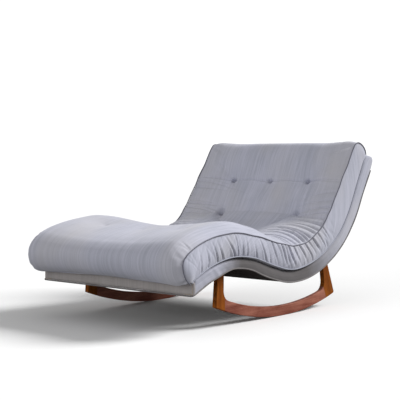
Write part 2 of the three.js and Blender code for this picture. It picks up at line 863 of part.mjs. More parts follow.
// Ring of the cushion at a section: underside, drawn-in boxing, top panel and the other boxing
function cushionRing(section) {
  const { lower, upper, up } = section;
  const lifted = lowerSeamLift - gap;
  const under = new THREE.Vector3(lower.x - up.x * lifted, lower.y - up.y * lifted, seamHalf - footprintInset);
  const seam = new THREE.Vector3(lower.x, lower.y, seamHalf);
  const boxing = new THREE.Vector3((lower.x + upper.x) / 2, (lower.y + upper.y) / 2, seamHalf - boxingDrawIn);
  const edge = new THREE.Vector3(upper.x, upper.y, seamHalf);
  const mirrored = ({ x, y, z }) => new THREE.Vector3(x, y, -z);
  const side = [under, seam, boxing, edge];
  const panel = panelColumns().map((z) => panelPoint(section, z));
  return [...side.map(mirrored), ...panel, ...side.reverse()];
}

// Welt along one of the cushion's side seams
function cushionWelt(side, seamName) {
  const reach = (cushionWeltRadius + gap) * Math.SQRT1_2;
  const rings = sections.map((section) => {
    const seam = section[seamName];
    const away = seamName === "upper" ? section.out : section.up.clone().negate();
    const lift = new THREE.Vector3(away.x, away.y, 0);
    const centre = new THREE.Vector3(seam.x, seam.y, side * (seamHalf + reach)).addScaledVector(lift, reach);
    return weltRing(centre, lift, new THREE.Vector3(0, 0, side), cushionWeltRadius);
  });
  return loft(rings);
}

// Covered button, with its flat back down
function button() {
  const rim = buttonRimShare * buttonHeight;
  const profile = [new THREE.Vector2(0, 0), new THREE.Vector2(buttonRadius, 0)];
  for (let ring = 0; ring < buttonRings; ring += 1) {
    const angle = (Math.PI / 2) * (ring / buttonRings);
    const height = rim + (buttonHeight - rim) * Math.sin(angle);
    profile.push(new THREE.Vector2(buttonRadius * Math.cos(angle), height));
  }
  profile.push(new THREE.Vector2(0, buttonHeight));
  return facingOut(mergedPositions(new THREE.LatheGeometry(profile, boltSides)));
}

// Place and direction of the floor of a tuft
function tuftSeat(row, column) {
  const ends = [-tuftFloor, tuftFloor].map((step) => {
    const share = row.share + step / deckRun;
    const section = sections.find((each) => Math.abs(each.share - share) * deckRun < gap);
    return panelPoint(section, column * tuftSpacing + tuftFloor);
  });
  const ahead = ends[1].clone().sub(ends[0]).setZ(0).normalize();
  const out = new THREE.Vector3(-ahead.y, ahead.x, 0);
  const seat = ends[0].clone().add(ends[1]).divideScalar(2).addScaledVector(out, gap);
  return { seat: seat.setZ(column * tuftSpacing), out };
}

// Assembly
const sides = [
  { name: "left", side: 1 },
  { name: "right", side: -1 },
];

function mesh(name, geometry, material) {
  const made = new THREE.Mesh(geometry, material);
  made.name = name;
  return made;
}

function rockerGroup({ name, side }) {
  const group = new THREE.Group();
  group.position.z = side * rockerMiddle;
  for (const [piece, geometry] of Object.entries(rockerPieces(side))) {
    group.add(mesh(`${name}_rocker_${piece}`, geometry, materials.walnut));
  }
  for (const [piece, joint] of Object.entries(joints)) {
    group.add(mesh(`${name}_${piece}_tenon`, tenon(joint, 0), materials.walnut));
  }
  bolts.forEach((place, i) => {
    const screw = mesh(`${name}_post_bolt_${i + 1}`, bolt(side), materials.steel);
    const nut = mesh(`${name}_tee_nut_${i + 1}`, teeNut(side), materials.steel);
    screw.position.set(place.x, place.y, 0);
    nut.position.set(place.x, place.y, 0);
    group.add(screw, nut);
  });
  return group;
}

function baseGroup() {
  const group = new THREE.Group();
  for (const { name, side } of sides) {
    const rail = mesh(`${name}_side_rail`, sideRail(side), materials.frameWood);
    rail.position.z = (side * (sideRailOuter + sideRailInner)) / 2;
    group.add(rail);
  }
  for (const [name, share] of crossRailShares) {
    group.add(mesh(name, crossRail(share), materials.frameWood));
  }
  const [first, last] = webbingReachShares;
  for (let i = 0; i < webbingCount; i += 1) {
    const share = THREE.MathUtils.lerp(first, last, i / (webbingCount - 1));
    group.add(mesh(`webbing_strap_${i + 1}`, webbingStrap(share), materials.webbing));
  }
  group.add(mesh("deck_pad", deckPad(), materials.padding));
  group.add(mesh("base_cover", baseCover(), materials.fabric));
  group.add(mesh("dust_cover", dustCover(), materials.lining));
  group.add(mesh("base_welt", baseWelt(), materials.welt));
  return group;
}

function cushionGroup() {
  const group = new THREE.Group();
  group.add(mesh("cushion_body", loft(sections.map(cushionRing)), materials.fabric));
  for (const { name, side } of sides) {
    group.add(mesh(`${name}_cushion_upper_welt`, cushionWelt(side, "upper"), materials.welt));
    group.add(mesh(`${name}_cushion_lower_welt`, cushionWelt(side, "lower"), materials.welt));
  }
  const across = new THREE.Vector3(0, 1, 0);
  for (const row of tuftRows) {
    for (const column of row.columns) {
      const { seat, out } = tuftSeat(row, column);
      const placed = mesh(`${row.name}_button_${columnName(column)}`, button(), materials.fabric);
      placed.position.copy(seat);
      placed.quaternion.setFromUnitVectors(across, out);
      group.add(placed);
    }
  }
  return group;
}

function columnName(column) {
  return column > 0 ? "left" : column < 0 ? "right" : "middle";
}

// Turns the side view upright: length to +Y, height to +Z, side to +X
const sideView = new THREE.Group();
sideView.quaternion.set(0.5, 0.5, 0.5, 0.5);
sideView.add(...sides.map(rockerGroup), baseGroup(), cushionGroup());

const chaise = new THREE.Group();
chaise.add(sideView);

// Origin under the middle of the whole, on the floor
const box = new THREE.Box3().setFromObject(chaise, true);
sideView.position.set(0, -(box.min.y + box.max.y) / 2, -box.min.z);
chaise.updateMatrixWorld(true);

export default chaise;
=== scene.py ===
"""Looks of a rocking chaise lounge, made round its packed model.

Metres throughout, in the model's own frame: +Z up, the foot end towards -Y, the sitter's left towards +X.
Lines that pieces follow, such as seams and edges, are read from the model's solids.
"""

import math
import random

import bpy
import numpy as np
from bpy.props import FloatProperty, FloatVectorProperty, IntProperty, PointerProperty
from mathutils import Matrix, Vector, noise


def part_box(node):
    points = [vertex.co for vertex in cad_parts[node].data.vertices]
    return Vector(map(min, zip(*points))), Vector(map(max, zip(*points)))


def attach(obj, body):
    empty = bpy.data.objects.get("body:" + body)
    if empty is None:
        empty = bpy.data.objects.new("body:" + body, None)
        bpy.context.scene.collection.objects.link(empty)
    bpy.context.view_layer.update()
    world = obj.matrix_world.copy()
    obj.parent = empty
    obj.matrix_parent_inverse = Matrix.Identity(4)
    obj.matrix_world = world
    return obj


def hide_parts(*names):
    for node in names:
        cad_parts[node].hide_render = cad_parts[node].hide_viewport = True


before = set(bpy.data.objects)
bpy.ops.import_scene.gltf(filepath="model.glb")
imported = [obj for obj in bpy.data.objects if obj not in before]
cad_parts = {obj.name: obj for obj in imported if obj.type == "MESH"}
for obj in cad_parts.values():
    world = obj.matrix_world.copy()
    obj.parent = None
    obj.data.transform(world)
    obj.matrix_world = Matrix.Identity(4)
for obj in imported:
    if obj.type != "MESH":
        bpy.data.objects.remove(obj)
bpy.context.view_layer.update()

bl_info = {
    "name": "Rocking chaise lounge",
    "version": (1, 0, 0),
    "blender": (4, 5, 0),
    "location": "3D View > Sidebar > Chaise",
    "description": "Builds the cushion, upholstery, rockers and studio of a rocking chaise lounge",
    "category": "Object",
}

SIDES = {"left": 1, "right": -1}
# How near a point has to be to count as on a line or a face, and how far the dust cloth lies off the base.
TOUCH = 0.0003
# The least length that anything is divided by.
HAIR = 1e-5
# The panel's rolled edges: place along the cushion from its foot, share of the roll's height, how far in
# from the seam it is highest, and share of the middle's sag.
PANEL_ROLL = (
    (0.00, 0.3, 0.08, 0.0),
    (0.05, 0.8, 0.08, 0.0),
    (0.20, 1.0, 0.09, 0.3),
    (0.45, 1.0, 0.10, 1.0),
    (0.70, 1.0, 0.11, 1.0),
    (0.88, 1.2, 0.14, 0.6),
    (1.02, 2.4, 0.16, 1.3),
    (1.14, 3.2, 0.15, 1.5),
    (1.33, 1.1, 0.14, 0.6),
    (1.50, 0.7, 0.09, 0.2),
    (1.75, 0.5, 0.07, 0.0),
    (1.95, 0.1, 0.07, 0.0),
)
# The panel is smooth before the first place along its run, and settled by the cloth after the second.
FOOT_PLAIN = (0.50, 0.85)
# Between these distances from the centre line the settled cloth fades in, from a share of it at the middle.
MIDDLE_CALM = (0.16, 0.30)
MIDDLE_SHARE = 0.3
# The boxing is gathered up to the first place along its run. Past the second it is taut, with a share of the
# settled cloth.
BACK_TAUT = (1.22, 1.42)
TAUT_SHARE = 0.12
# The foot's extra fullness: how soon it rises, where it starts to fade, and over what length at the corners
# and right across.
FOOT_RISE = 0.05
FOOT_FADE = 0.10
FOOT_CORNER_LENGTH = 0.34
FOOT_ACROSS_LENGTH = 0.22
# How far in from a side seam the fullness of the foot's corners holds, over what reach it fades further in,
# and how soon it rises at the seam.
CORNER_HOLD = 0.05
CORNER_FADE = 0.16
CORNER_RISE = 0.035
# How far up the run the side seams splay out, and how wide the middle's sag is.
FLARE_LENGTH = 0.42
SAG_WIDTH = 0.22
# The underside is flat up to this far in from the boxings, at least.
UNDER_INSET = 0.025
UNDER_COLUMNS = 9
# Stations on each side that the crown and the rolls are eased over, stations that a bend is averaged over,
# and how near the panel a button's station is looked for.
CROWN_EASE = 11
ROLL_EASE = 5
BEND_STATIONS = 13
BUTTON_NEAR = 0.1
# Heights of crown and boxing that puff out in full, and bends, in radians to the metre, that are gathered or
# slack in full.
FULL_CROWN = 0.02
FULL_BOXING = 0.1
GATHERED_BEND = 2.4
SHARP_BEND = 3.0
# Even stations that the cushion's bends are first read at. Shares of how close its own stations stand:
# everywhere, and how much more at sharp bends and at the shoulder row. The reach of that row.
ROUGH_STATIONS = 400
STATION_SHARES = (0.72, 0.9, 1.3)
STATION_REACH = 0.03
# The rows of tufts. shown: share of the solid's depth that shows. sunk: how far the button sits in it.
# reach, pinch: sizes of its hollow and its dimple beside the settings. rays, ray_reach, ray_depth: the folds
# that run out from it, their depth beside the setting. slack: how much of the extra cloth it has.
TUFT_ROWS = {
    "foot": {
        "shown": 0.65, "sunk": 0.0, "reach": 1.0, "pinch": 1.6,
        "rays": 8, "ray_reach": 0.045, "ray_depth": 0.25, "slack": 0.10,
    },
    "lumbar": {
        "shown": 1.0, "sunk": 0.006, "reach": 1.5, "pinch": 1.25,
        "rays": 11, "ray_reach": 0.11, "ray_depth": 0.9, "slack": 0.6,
    },
    "shoulder": {
        "shown": 1.0, "sunk": 0.006, "reach": 1.0, "pinch": 1.0,
        "rays": 8, "ray_reach": 0.045, "ray_depth": 0.5, "slack": 0.10,
    },
}
# Share of a foot tuft's depth in its soft hollow. The other rows take the setting's.
FOOT_SOFTNESS = 0.70
# How far in from the side seams there is extra cloth.
EDGE_SLACK = 0.13
# How far round a button its dimple and folds are worked out, the radius that its thread holds still, and the
# reach of the extra cloth about it.
TUFT_AREA = 0.30
TUFT_SEAT = 0.013
TUFT_SLACK = 0.11
# The pocket round a lower back button: radius and depth.
LUMBAR_POCKET = (0.034, 0.004)
# The long fold below each lower back button: share of its way that goes to the middle, length, half width
# and depth.
SEAT_FOLD = (0.55, 0.160, 0.022, 0.016)
# The line through the shoulder row: half widths of its crease and of the swelling round it, and the ridge on
# its lower side, by place and half width.
ROW_CREASE = 0.0050
ROW_SWELLING = 0.016
ROW_RIDGE = (-0.0095, 0.0065)
# Folds in a boxing: y at the upper seam, y at the lower seam, depth, half width, and the seam that each
# starts from.
BOXING_FOLDS = (
    (-0.702, -0.685, 0.0040, 0.0060, "lower"),
    (-0.667, -0.631, 0.0045, 0.0065, "lower"),
    (-0.613, -0.563, 0.0055, 0.0070, "lower"),
    (-0.577, -0.521, 0.0065, 0.0075, "lower"),
    (-0.512, -0.435, 0.0085, 0.0080, "lower"),
    (-0.435, -0.411, 0.0065, 0.0065, "lower"),
    (-0.395, -0.372, 0.0045, 0.0060, "lower"),
    (-0.357, -0.340, 0.0060, 0.0070, "lower"),
    (-0.300, -0.262, 0.0045, 0.0065, "lower"),
    (-0.247, -0.184, 0.0065, 0.0075, "lower"),
    (-0.190, -0.150, 0.0040, 0.0060, "lower"),
    (-0.142, -0.085, 0.0060, 0.0070, "upper"),
    (-0.100, -0.045, 0.0045, 0.0060, "upper"),
    (-0.062, -0.007, 0.0105, 0.0070, "upper"),
    (-0.030, 0.030, 0.0045, 0.0055, "upper"),
    (-0.002, 0.071, 0.0115, 0.0075, "upper"),
    (0.045, 0.115, 0.0060, 0.0060, "upper"),
    (0.095, 0.160, 0.0070, 0.0065, "upper"),
    (0.145, 0.216, 0.0085, 0.0070, "upper"),
    (0.180, 0.262, 0.0050, 0.0060, "upper"),
    (0.215, 0.305, 0.0080, 0.0070, "upper"),
    (0.262, 0.342, 0.0060, 0.0065, "upper"),
    (0.310, 0.398, 0.0035, 0.0060, "upper"),
)
# The depths above are those for this gather depth.
GATHER_DEPTH = 0.0085
# How far a fold bows out on its way, and the share of the boxing's height that its folds fade over at the
# seams.
FOLD_BOW = 0.006
SEAM_SHARE = 0.06
# Fine folds of a boxing, besides those above.
FINE_FOLDS = 70
# Puckers in the panel: y at the side seam where each starts, and the stretch of y that they lie in, by its
# start and its length.
PANEL_PUCKERS = (
    -0.06, 0.0, 0.033, 0.075, 0.11, 0.147, 0.176, 0.205, 0.246, 0.276,
    0.312, 0.348, 0.373, 0.397, 0.422, 0.455, 0.49,
)
PUCKERED = (-0.10, 0.66)
# Short gathers at each of the foot's corners.
CORNER_FOLDS = 9
# How soon the folds deepen, from the seam or the button that they start at.
PUCKER_RISE = 0.012
CORNER_FOLD_RISE = 0.01
RAY_RISE = 0.02
ROW_RISE = 0.05
# How far the folds' random numbers start from the setting's seed.
PUCKER_SEED = 40
CORNER_SEED = 70
RAY_SEED = 90
# Steps that the cloth settles in, and how far its broad swelling is averaged, in points of the mesh.
SETTLING_STEPS = 20
SWELLING_REACH = 5
# Where the parts' cloths start, so that no two of them show the same figure of the material.
CLOTH_PLACES = {"boxings": 5, "buttons": 7, "left_boxing": 9, "base": 13, "underside": 20, "ends": 30}
# Sides of a piping's cord, how uneven it is, and waves of that to the metre.
CORD_SIDES = 10
CORD_SWELL = 0.07
CORD_WAVES = 40
# Shares of its radius that the cushion's piping, and the base's, stand out from their seams.
CUSHION_WELT_SHARE = 0.55
BASE_WELT_SHARE = 0.62
# The base's outline in points and its stations, the rings that close its head end, the length before the
# head end that shows which way it points, and the length at the foot over which its stations turn upright.
BASE_POINTS = 600
BASE_SPACING = 0.010
HEAD_RINGS = 11
HEAD_LENGTH = 0.16
UPRIGHT_LENGTH = 0.08
# Where the deck's lines of points lie, as shares of its half width, and the height of band that puffs out in
# full.
DECK_SHARES = (0.3, 0.6, 0.85, 0.97)
FULL_BAND = 0.06
# How far in from its outermost points the band still counts as its side.
BAND_SIDE = 0.004
# The wrinkles over the front posts: y of their middle, and reach.
POST_WRINKLES = (-0.52, 0.10)
# The dust cloth: spacing of its rows, columns between the posts, thickness, and depth and spacing of its
# sags and of the scallops between its tacks.
DUST_SPACING = 0.012
DUST_COLUMNS = 61
DUST_THICK = 0.0015
DUST_SAG = (0.0022, 0.24)
DUST_SCALLOP = (0.0012, 0.06)
# Its outermost strip, and the room round each post: between its edge and the post, and where a quad is left
# out.
DUST_EDGE = 0.01
POST_GAP = 0.0018
HOLE_ACROSS = 0.002
HOLE_ALONG = 0.008
# Way of the grain in each part of a rocker. A runner is sawn from a board along the chord of its arc.
GRAIN_WAYS = {"front_post": (0, -0.05, 1), "runner": (0, 1, 0.02), "rear_post": (0, -0.30, 1)}
# Edges of the rockers that are rounded turn by more than the first angle, and flats by less than the second.
EDGE_ANGLE = math.radians(28)
FLAT_ANGLE = math.radians(0.4)
FLOOR_REACH = 40.0
BACKDROP_STRENGTH = 1.1
# How broad the light from the foot looks beside the main one.
FILL_SPREAD_SHARE = 1.5
# Numbers this small count as zero in a division, and as no way past a line's end.
ZERO = 1e-12
SLACK = 1e-6
# Painted shade on the base's band, where the cushion overhangs it from the foot to the valley: half the
# distance from the foot in metres, and the share of the shaded tone.
BAND_SHADE_PLACES = ((0.14, 0.15), (0.22, 1.0), (0.50, 1.0), (0.65, 0.0))
# Where the base's foot face ends along the cloth: a warmer tone, darkened as painted shade under the cushion.
FOOT_TINT_AND_SHADE = (0.018, 0.030)


# Settings

def tone_setting(name, description, default):
    return FloatVectorProperty(
        name=name, description=description, subtype="COLOR", size=3, min=0, max=1, default=default,
    )


def length_setting(name, description, default, low=0.0):
    return FloatProperty(
        name=name, description=description, subtype="DISTANCE", unit="LENGTH", default=default, min=low,
    )


def angle_setting(name, description, degrees):
    return FloatProperty(
        name=name, description=description, subtype="ANGLE", unit="ROTATION", default=math.radians(degrees),
    )


def direction_setting(name, description, default):
    return FloatVectorProperty(
        name=name, description=description, subtype="DIRECTION", size=3, default=default,
    )


def amount_setting(name, description, default, **limits):
    return FloatProperty(name=name, description=description, default=default, min=0, **limits)


class ChaiseClothSettings(bpy.types.PropertyGroup):
    """Colours and nap of the upholstery."""

    light_tone: tone_setting("Light tone", "Fabric where the nap lies towards the eye", (0.560, 0.565, 0.665))
    dark_tone: tone_setting("Dark tone", "Fabric where the nap lies away", (0.410, 0.424, 0.500))
    warm_tone: tone_setting("Warm tone", "Faded patches of the fabric", (0.520, 0.508, 0.530))
    # Darkened tone of the cushion's upper piping: painted shade along the seams.
    seam_shade_piping_tone: tone_setting("Piping tone", "Fabric of the welts", (0.100, 0.100, 0.128))
    # Darkened tone of the base's band: painted shade under the cushion's overhang.
    shaded_band_tone: tone_setting("Band tone", "Soiled fabric of the base towards the foot", (0.132, 0.121, 0.121))
    # A warmer tone for the base's foot face, darkened as painted shade under the cushion.
    foot_band_tone: tone_setting(
        "Foot band tone", "Yellowed fabric across the foot of the base", (0.455, 0.423, 0.414),
    )
    lining_tone: tone_setting("Lining tone", "Dust cover under the base", (0.020, 0.014, 0.012))
    yarn: length_setting("Yarn", "Pitch of the weave", 0.0016, 0.0005)
    sheen: amount_setting("Sheen", "Strength of the nap's bloom", 0.35, max=1)


class ChaiseWoodSettings(bpy.types.PropertyGroup):
    """Colours of the rockers and the hidden frame."""

    post_light: tone_setting("Post, light grain", "Early wood of the posts", (0.440, 0.132, 0.018))
    post_dark: tone_setting("Post, dark grain", "Late wood of the posts", (0.150, 0.036, 0.006))
    runner_light: tone_setting("Runner, light grain", "Early wood of the runners", (0.510, 0.215, 0.150))
    runner_dark: tone_setting("Runner, dark grain", "Late wood of the runners", (0.170, 0.042, 0.028))
    frame_light: tone_setting("Frame, light grain", "Early wood of the hidden frame", (0.640, 0.470, 0.260))
    frame_dark: tone_setting("Frame, dark grain", "Late wood of the hidden frame", (0.450, 0.270, 0.110))
    edge_round: length_setting("Edge round", "Extra rounding on the eased edges of the rockers", 0.0012)


class ChaiseCushionSettings(bpy.types.PropertyGroup):
    """Sizes of the loose cushion that the solids don't hold."""

    spacing: length_setting("Mesh spacing", "Distance between the points of the cover", 0.0095, 0.004)
    edge_reach: length_setting("Edge reach", "How far the panel rolls down to its side seams", 0.085, 0.01)
    edge_puff: length_setting("Edge puff", "How far the roll stands proud of the crown", 0.006)
    boxing_puff: length_setting("Boxing puff", "How far the boxing stands out halfway up", 0.006)
    gather_puff: length_setting("Gather puff", "How much further the boxing stands out at its bends", 0.008)
    lower_lift: length_setting("Lower lift", "How far the lower seams stand up from the base", 0.005)
    tuft_reach: length_setting("Tuft reach", "Radius of the soft hollow round a button", 0.085, 0.01)
    tuft_softness: amount_setting("Tuft softness", "Share of a tuft's depth in its soft hollow", 0.42, max=1)
    tuft_pinch: length_setting("Tuft pinch", "Radius of the sharp dimple round a button", 0.0115, 0.005)
    corner_puff: length_setting("Corner puff", "Extra fullness of the foot's corners", 0.018)
    pucker_depth: length_setting("Pucker depth", "Depth of the puckers along the side seams", 0.0200)
    ray_depth: length_setting("Ray depth", "Depth of the folds that run out from the buttons", 0.0045)
    gather_depth: length_setting("Gather depth", "Depth of the deeper folds in the boxing", 0.0145)
    welt_radius: length_setting("Welt radius", "Radius of the piping along the seams", 0.0029, 0.001)
    button_radius: length_setting("Button radius", "Radius of the covered buttons", 0.007, 0.002)
    corner_depth: length_setting("Corner folds", "Depth of the short gathers at the foot's corners", 0.0085)
    edge_roll: length_setting(
        "Edge roll", "Height of the panel's rolled edge on the foot and the hump", 0.018,
    )
    middle_sag: length_setting("Middle sag", "How far the middle of the hump has sunk with use", 0.018)
    corner_flare: length_setting(
        "Corner flare", "How far the side seams splay out at the foot's corners", 0.010,
    )
    row_depth: length_setting(
        "Row depth", "Depth of the line pressed in through the shoulder buttons", 0.0050,
    )
    boxing_bias: angle_setting("Boxing bias", "How far the boxings' grain is turned from their length", 38)
    boxing_rows: IntProperty(name="Boxing rows", description="Rows of mesh up the boxing", default=16, min=6)
    push: amount_setting("Push", "Pressure of the filling on the cover", 2.5)
    stiffness: amount_setting("Stiffness", "Bending stiffness of the cover", 0.15)
    fullness: amount_setting("Fullness", "Extra cloth where the cover is gathered", 0.05)
    swell: amount_setting("Swell", "Share of the broad swelling that is kept", 0.2)
    move_limit: length_setting("Move limit", "How far the settling cloth may move a point", 0.012)
    seed: IntProperty(name="Seed", description="Start of the random folds", default=7, min=0)


class ChaiseBaseSettings(bpy.types.PropertyGroup):
    """Sizes of the upholstered base that the solids don't hold."""

    edge_round: length_setting("Edge round", "Rounding of the padded band's edges", 0.015, 0.001)
    lower_round: length_setting("Lower edge round", "Rounding of the band's lower edge", 0.004, 0.001)
    band_puff: length_setting("Band puff", "How far the band's padding stands out", 0.002)
    band_inset: length_setting("Band inset", "How far the band stays behind the cushion", 0.0005)
    welt_radius: length_setting("Welt radius", "Radius of the piping along the lower edge", 0.0036, 0.001)
    hem: length_setting("Hem", "Width of the cover turned under the base", 0.026, 0.005)


class ChaiseStageSettings(bpy.types.PropertyGroup):
    """Camera, floor and lights."""

    camera_place: FloatVectorProperty(
        name="Camera", description="Where the camera stands",
        subtype="TRANSLATION", unit="LENGTH", size=3, default=(3.377, -4.098, 0.792),
    )
    camera_turn: angle_setting("Turn", "Camera's turn round the vertical", 40.11)
    camera_dip: angle_setting("Dip", "How far the camera looks down", 2.33)
    lens: FloatProperty(
        name="Lens", description="Focal length", subtype="DISTANCE_CAMERA", default=90.0, min=10,
    )
    floor_tone: tone_setting("Floor tone", "Colour of the floor", (0.98, 0.98, 0.98))
    floor_bounce: tone_setting("Floor bounce", "Colour of the floor as the lights see it", (0.30, 0.30, 0.30))
    sky_strength: amount_setting("Sky", "Strength of the even light", 0.375)
    key_power: amount_setting("Key", "Strength of the main light", 3.35)
    fill_power: amount_setting("Fill", "Strength of the light from the foot", 0.92)
    fill_from: direction_setting(
        "Fill from", "Direction that the light from the foot comes from", (-0.05, -0.985, 0.15),
    )
    key_spread: angle_setting("Key spread", "How broad the main light looks from the seat", 24)
    key_from: direction_setting("Key from", "Direction that the main light comes from", (0.47, 0.65, 0.59))


# Materials

def new_material(name):
    """An empty material and its node tree."""
    material = bpy.data.materials.new(name)
    material.use_nodes = True
    tree = material.node_tree
    tree.nodes.clear()
    return material, tree


def add_node(tree, kind, inputs=None, **settings):
    """A node with its settings and inputs. An input that is a socket is joined."""
    made = tree.nodes.new(kind)
    for key, value in settings.items():
        setattr(made, key, value)
    for key, value in (inputs or {}).items():
        socket = made.inputs[key]
        if isinstance(value, bpy.types.NodeSocket):
            tree.links.new(value, socket)
        else:
            socket.default_value = value
    return made


def coordinates(tree, attribute, stretch):
    """A point attribute in metres, stretched on each axis."""
    read = add_node(tree, "ShaderNodeAttribute", attribute_name=attribute)
    spread = {"Vector": read.outputs["Vector"], "Scale": stretch}
    return add_node(tree, "ShaderNodeMapping", spread).outputs["Vector"]


def noise_value(tree, vector, detail=2.0, roughness=0.5, distortion=0.0):
    """Noise over a vector, at a scale of one."""
    values = {
        "Vector": vector, "Scale": 1.0, "Detail": detail, "Roughness": roughness, "Distortion": distortion,
    }
    return add_node(tree, "ShaderNodeTexNoise", values).outputs["Fac"]


def between(tree, value, low, high, to_low=0.0, to_high=1.0):
    """A value mapped from one range to another."""
    values = {"Value": value, "From Min": low, "From Max": high, "To Min": to_low, "To Max": to_high}
    return add_node(tree, "ShaderNodeMapRange", values).outputs["Result"]


def ramped(tree, value, stops):
    """A value read off a curve of stops."""
    ramp = add_node(tree, "ShaderNodeValToRGB", {0: value})
    marks = ramp.color_ramp.elements
    for number, (place, share) in enumerate(stops):
        mark = marks[number] if number < 2 else marks.new(place)
        mark.position = place
        mark.color = (share, share, share, 1.0)
    return ramp.outputs["Color"]


def mixed(tree, factor, first, second, blend="MIX"):
    """Two colours mixed by a factor."""
    made = add_node(tree, "ShaderNodeMix", data_type="RGBA", blend_type=blend)
    for index, value in ((0, factor), (6, first), (7, second)):
        socket = made.inputs[index]
        if isinstance(value, bpy.types.NodeSocket):
            tree.links.new(value, socket)
        elif index:
            socket.default_value = (*value, 1.0)
        else:
            socket.default_value = value
    return made.outputs[2]


def summed(tree, *terms):
    """Sum of values, each times its share."""
    total = None
    for value, share in terms:
        scaled = add_node(tree, "ShaderNodeMath", {0: value, 1: share}, operation="MULTIPLY").outputs[0]
        if total is None:
            total = scaled
        else:
            total = add_node(tree, "ShaderNodeMath", {0: total, 1: scaled}, operation="ADD").outputs[0]
    return total


def bumped(tree, height, distance, strength=1.0):
    """Normal from a height."""
    values = {"Height": height, "Distance": distance, "Strength": strength}
    return add_node(tree, "ShaderNodeBump", values).outputs["Normal"]


def surface(tree, **inputs):
    """The material's shader and its output."""
    shader = add_node(tree, "ShaderNodeBsdfPrincipled", inputs)
    add_node(tree, "ShaderNodeOutputMaterial", {"Surface": shader.outputs["BSDF"]})
    return shader


def cloth_noise(tree, across, along, detail=2.0, roughness=0.5, distortion=0.0):
    """Noise over a cloth, with so many features to the metre across it and along it."""
    return noise_value(tree, coordinates(tree, "cloth", (across, along, 1.0)), detail, roughness, distortion)


def object_noise(tree, scale, detail=2.0, roughness=0.5):
    """Noise over a piece's own places, with so many features to the metre."""
    place = add_node(tree, "ShaderNodeTexCoord").outputs["Object"]
    spread = add_node(tree, "ShaderNodeMapping", {"Vector": place, "Scale": (scale, scale, scale)})
    return noise_value(tree, spread.outputs["Vector"], detail, roughness)


def scaled_tone(tone, share):
    """A colour times a share, within what a colour can hold."""
    return [min(1.0, share * part) for part in tone]


def upholstery_material(name, paints_band_shade=False):
    """Napped fabric: broad shading of the nap, fine streaks along it, and a close weave."""
    cloth = bpy.context.scene.chaise_cloth
    material, tree = new_material(name)
    patches = cloth_noise(tree, 7.0, 4.5, 3.0, 0.55, 0.4)
    streaks = cloth_noise(tree, 210.0, 5.0, 3.0, 0.6)
    broad_streaks = cloth_noise(tree, 70.0, 3.0)
    weave = cloth_noise(tree, 1.0 / cloth.yarn, 1.0 / cloth.yarn * 0.6, 1.0)
    nap_tone = summed(tree, (patches, 0.35), (broad_streaks, 0.40), (streaks, 0.65), (weave, 0.15))
    nap = between(tree, nap_tone, 0.62, 0.93)
    faded = between(tree, cloth_noise(tree, 3.1, 1.9), 0.45, 0.70, 0.0, 0.7)
    colour = mixed(tree, faded, mixed(tree, nap, cloth.dark_tone, cloth.light_tone), cloth.warm_tone)
    # On the base: painted shade darkens the band from the foot to the valley, under the cushion's overhang.
    if paints_band_shade:
        place = coordinates(tree, "cloth", (1.0, 1.0, 1.0))
        along = add_node(tree, "ShaderNodeSeparateXYZ", {0: place}).outputs["Y"]
        share = ramped(tree, summed(tree, (along, 0.5), (patches, 0.06)), BAND_SHADE_PLACES)
        band_shade_colour = mixed(tree, nap, scaled_tone(cloth.shaded_band_tone, 0.75), cloth.shaded_band_tone)
        # The foot face's warmer tone, darkened as painted shade under the cushion.
        foot_tint_and_shade = mixed(tree, nap, scaled_tone(cloth.foot_band_tone, 0.8), cloth.foot_band_tone)
        colour = mixed(tree, share, colour, band_shade_colour)
        colour = mixed(tree, between(tree, along, *FOOT_TINT_AND_SHADE, 1.0, 0.0), colour, foot_tint_and_shade)
    surface(
        tree, **{
            "Base Color": colour,
            "Roughness": 0.88,
            "Specular IOR Level": 0.25,
            "Sheen Weight": cloth.sheen,
            "Sheen Roughness": 0.45,
            "Sheen Tint": (0.95, 0.95, 1.0, 1.0),
            "Normal": bumped(tree, summed(tree, (weave, 0.6), (streaks, 0.4)), 0.0005, 0.50),
        },
    )
    return material


def piping_material(name, dark, lift):
    """Welt: the same fabric cut on the bias round a cord, its tone mixed with a lighter one by twill and
    wear.
    """
    material, tree = new_material(name)
    twill = cloth_noise(tree, 260.0, 210.0)
    worn = cloth_noise(tree, 9.0, 14.0)
    share = between(tree, summed(tree, (twill, 0.5), (worn, 0.6)), 0.35, 0.80)
    surface(
        tree, **{
            "Base Color": mixed(tree, share, dark, scaled_tone(dark, lift)),
            "Roughness": 0.85,
            "Sheen Weight": 0.2,
            "Normal": bumped(tree, twill, 0.0008, 0.6),
        },
    )
    return material


def plain_cloth_material(name, tone, scale, contrast):
    """Plain woven cloth for the lining, webbing and padding."""
    material, tree = new_material(name)
    threads = object_noise(tree, scale, 3.0, 0.6)
    slubs = object_noise(tree, 6.0)
    share = between(tree, summed(tree, (threads, 0.6), (slubs, 0.5)), 0.35, 0.75)
    darker, lighter = scaled_tone(tone, 1 - contrast), scaled_tone(tone, 1 + contrast)
    surface(
        tree, **{
            "Base Color": mixed(tree, share, darker, lighter),
            "Roughness": 0.92,
            "Normal": bumped(tree, threads, 0.0010, 0.6),
        },
    )
    return material


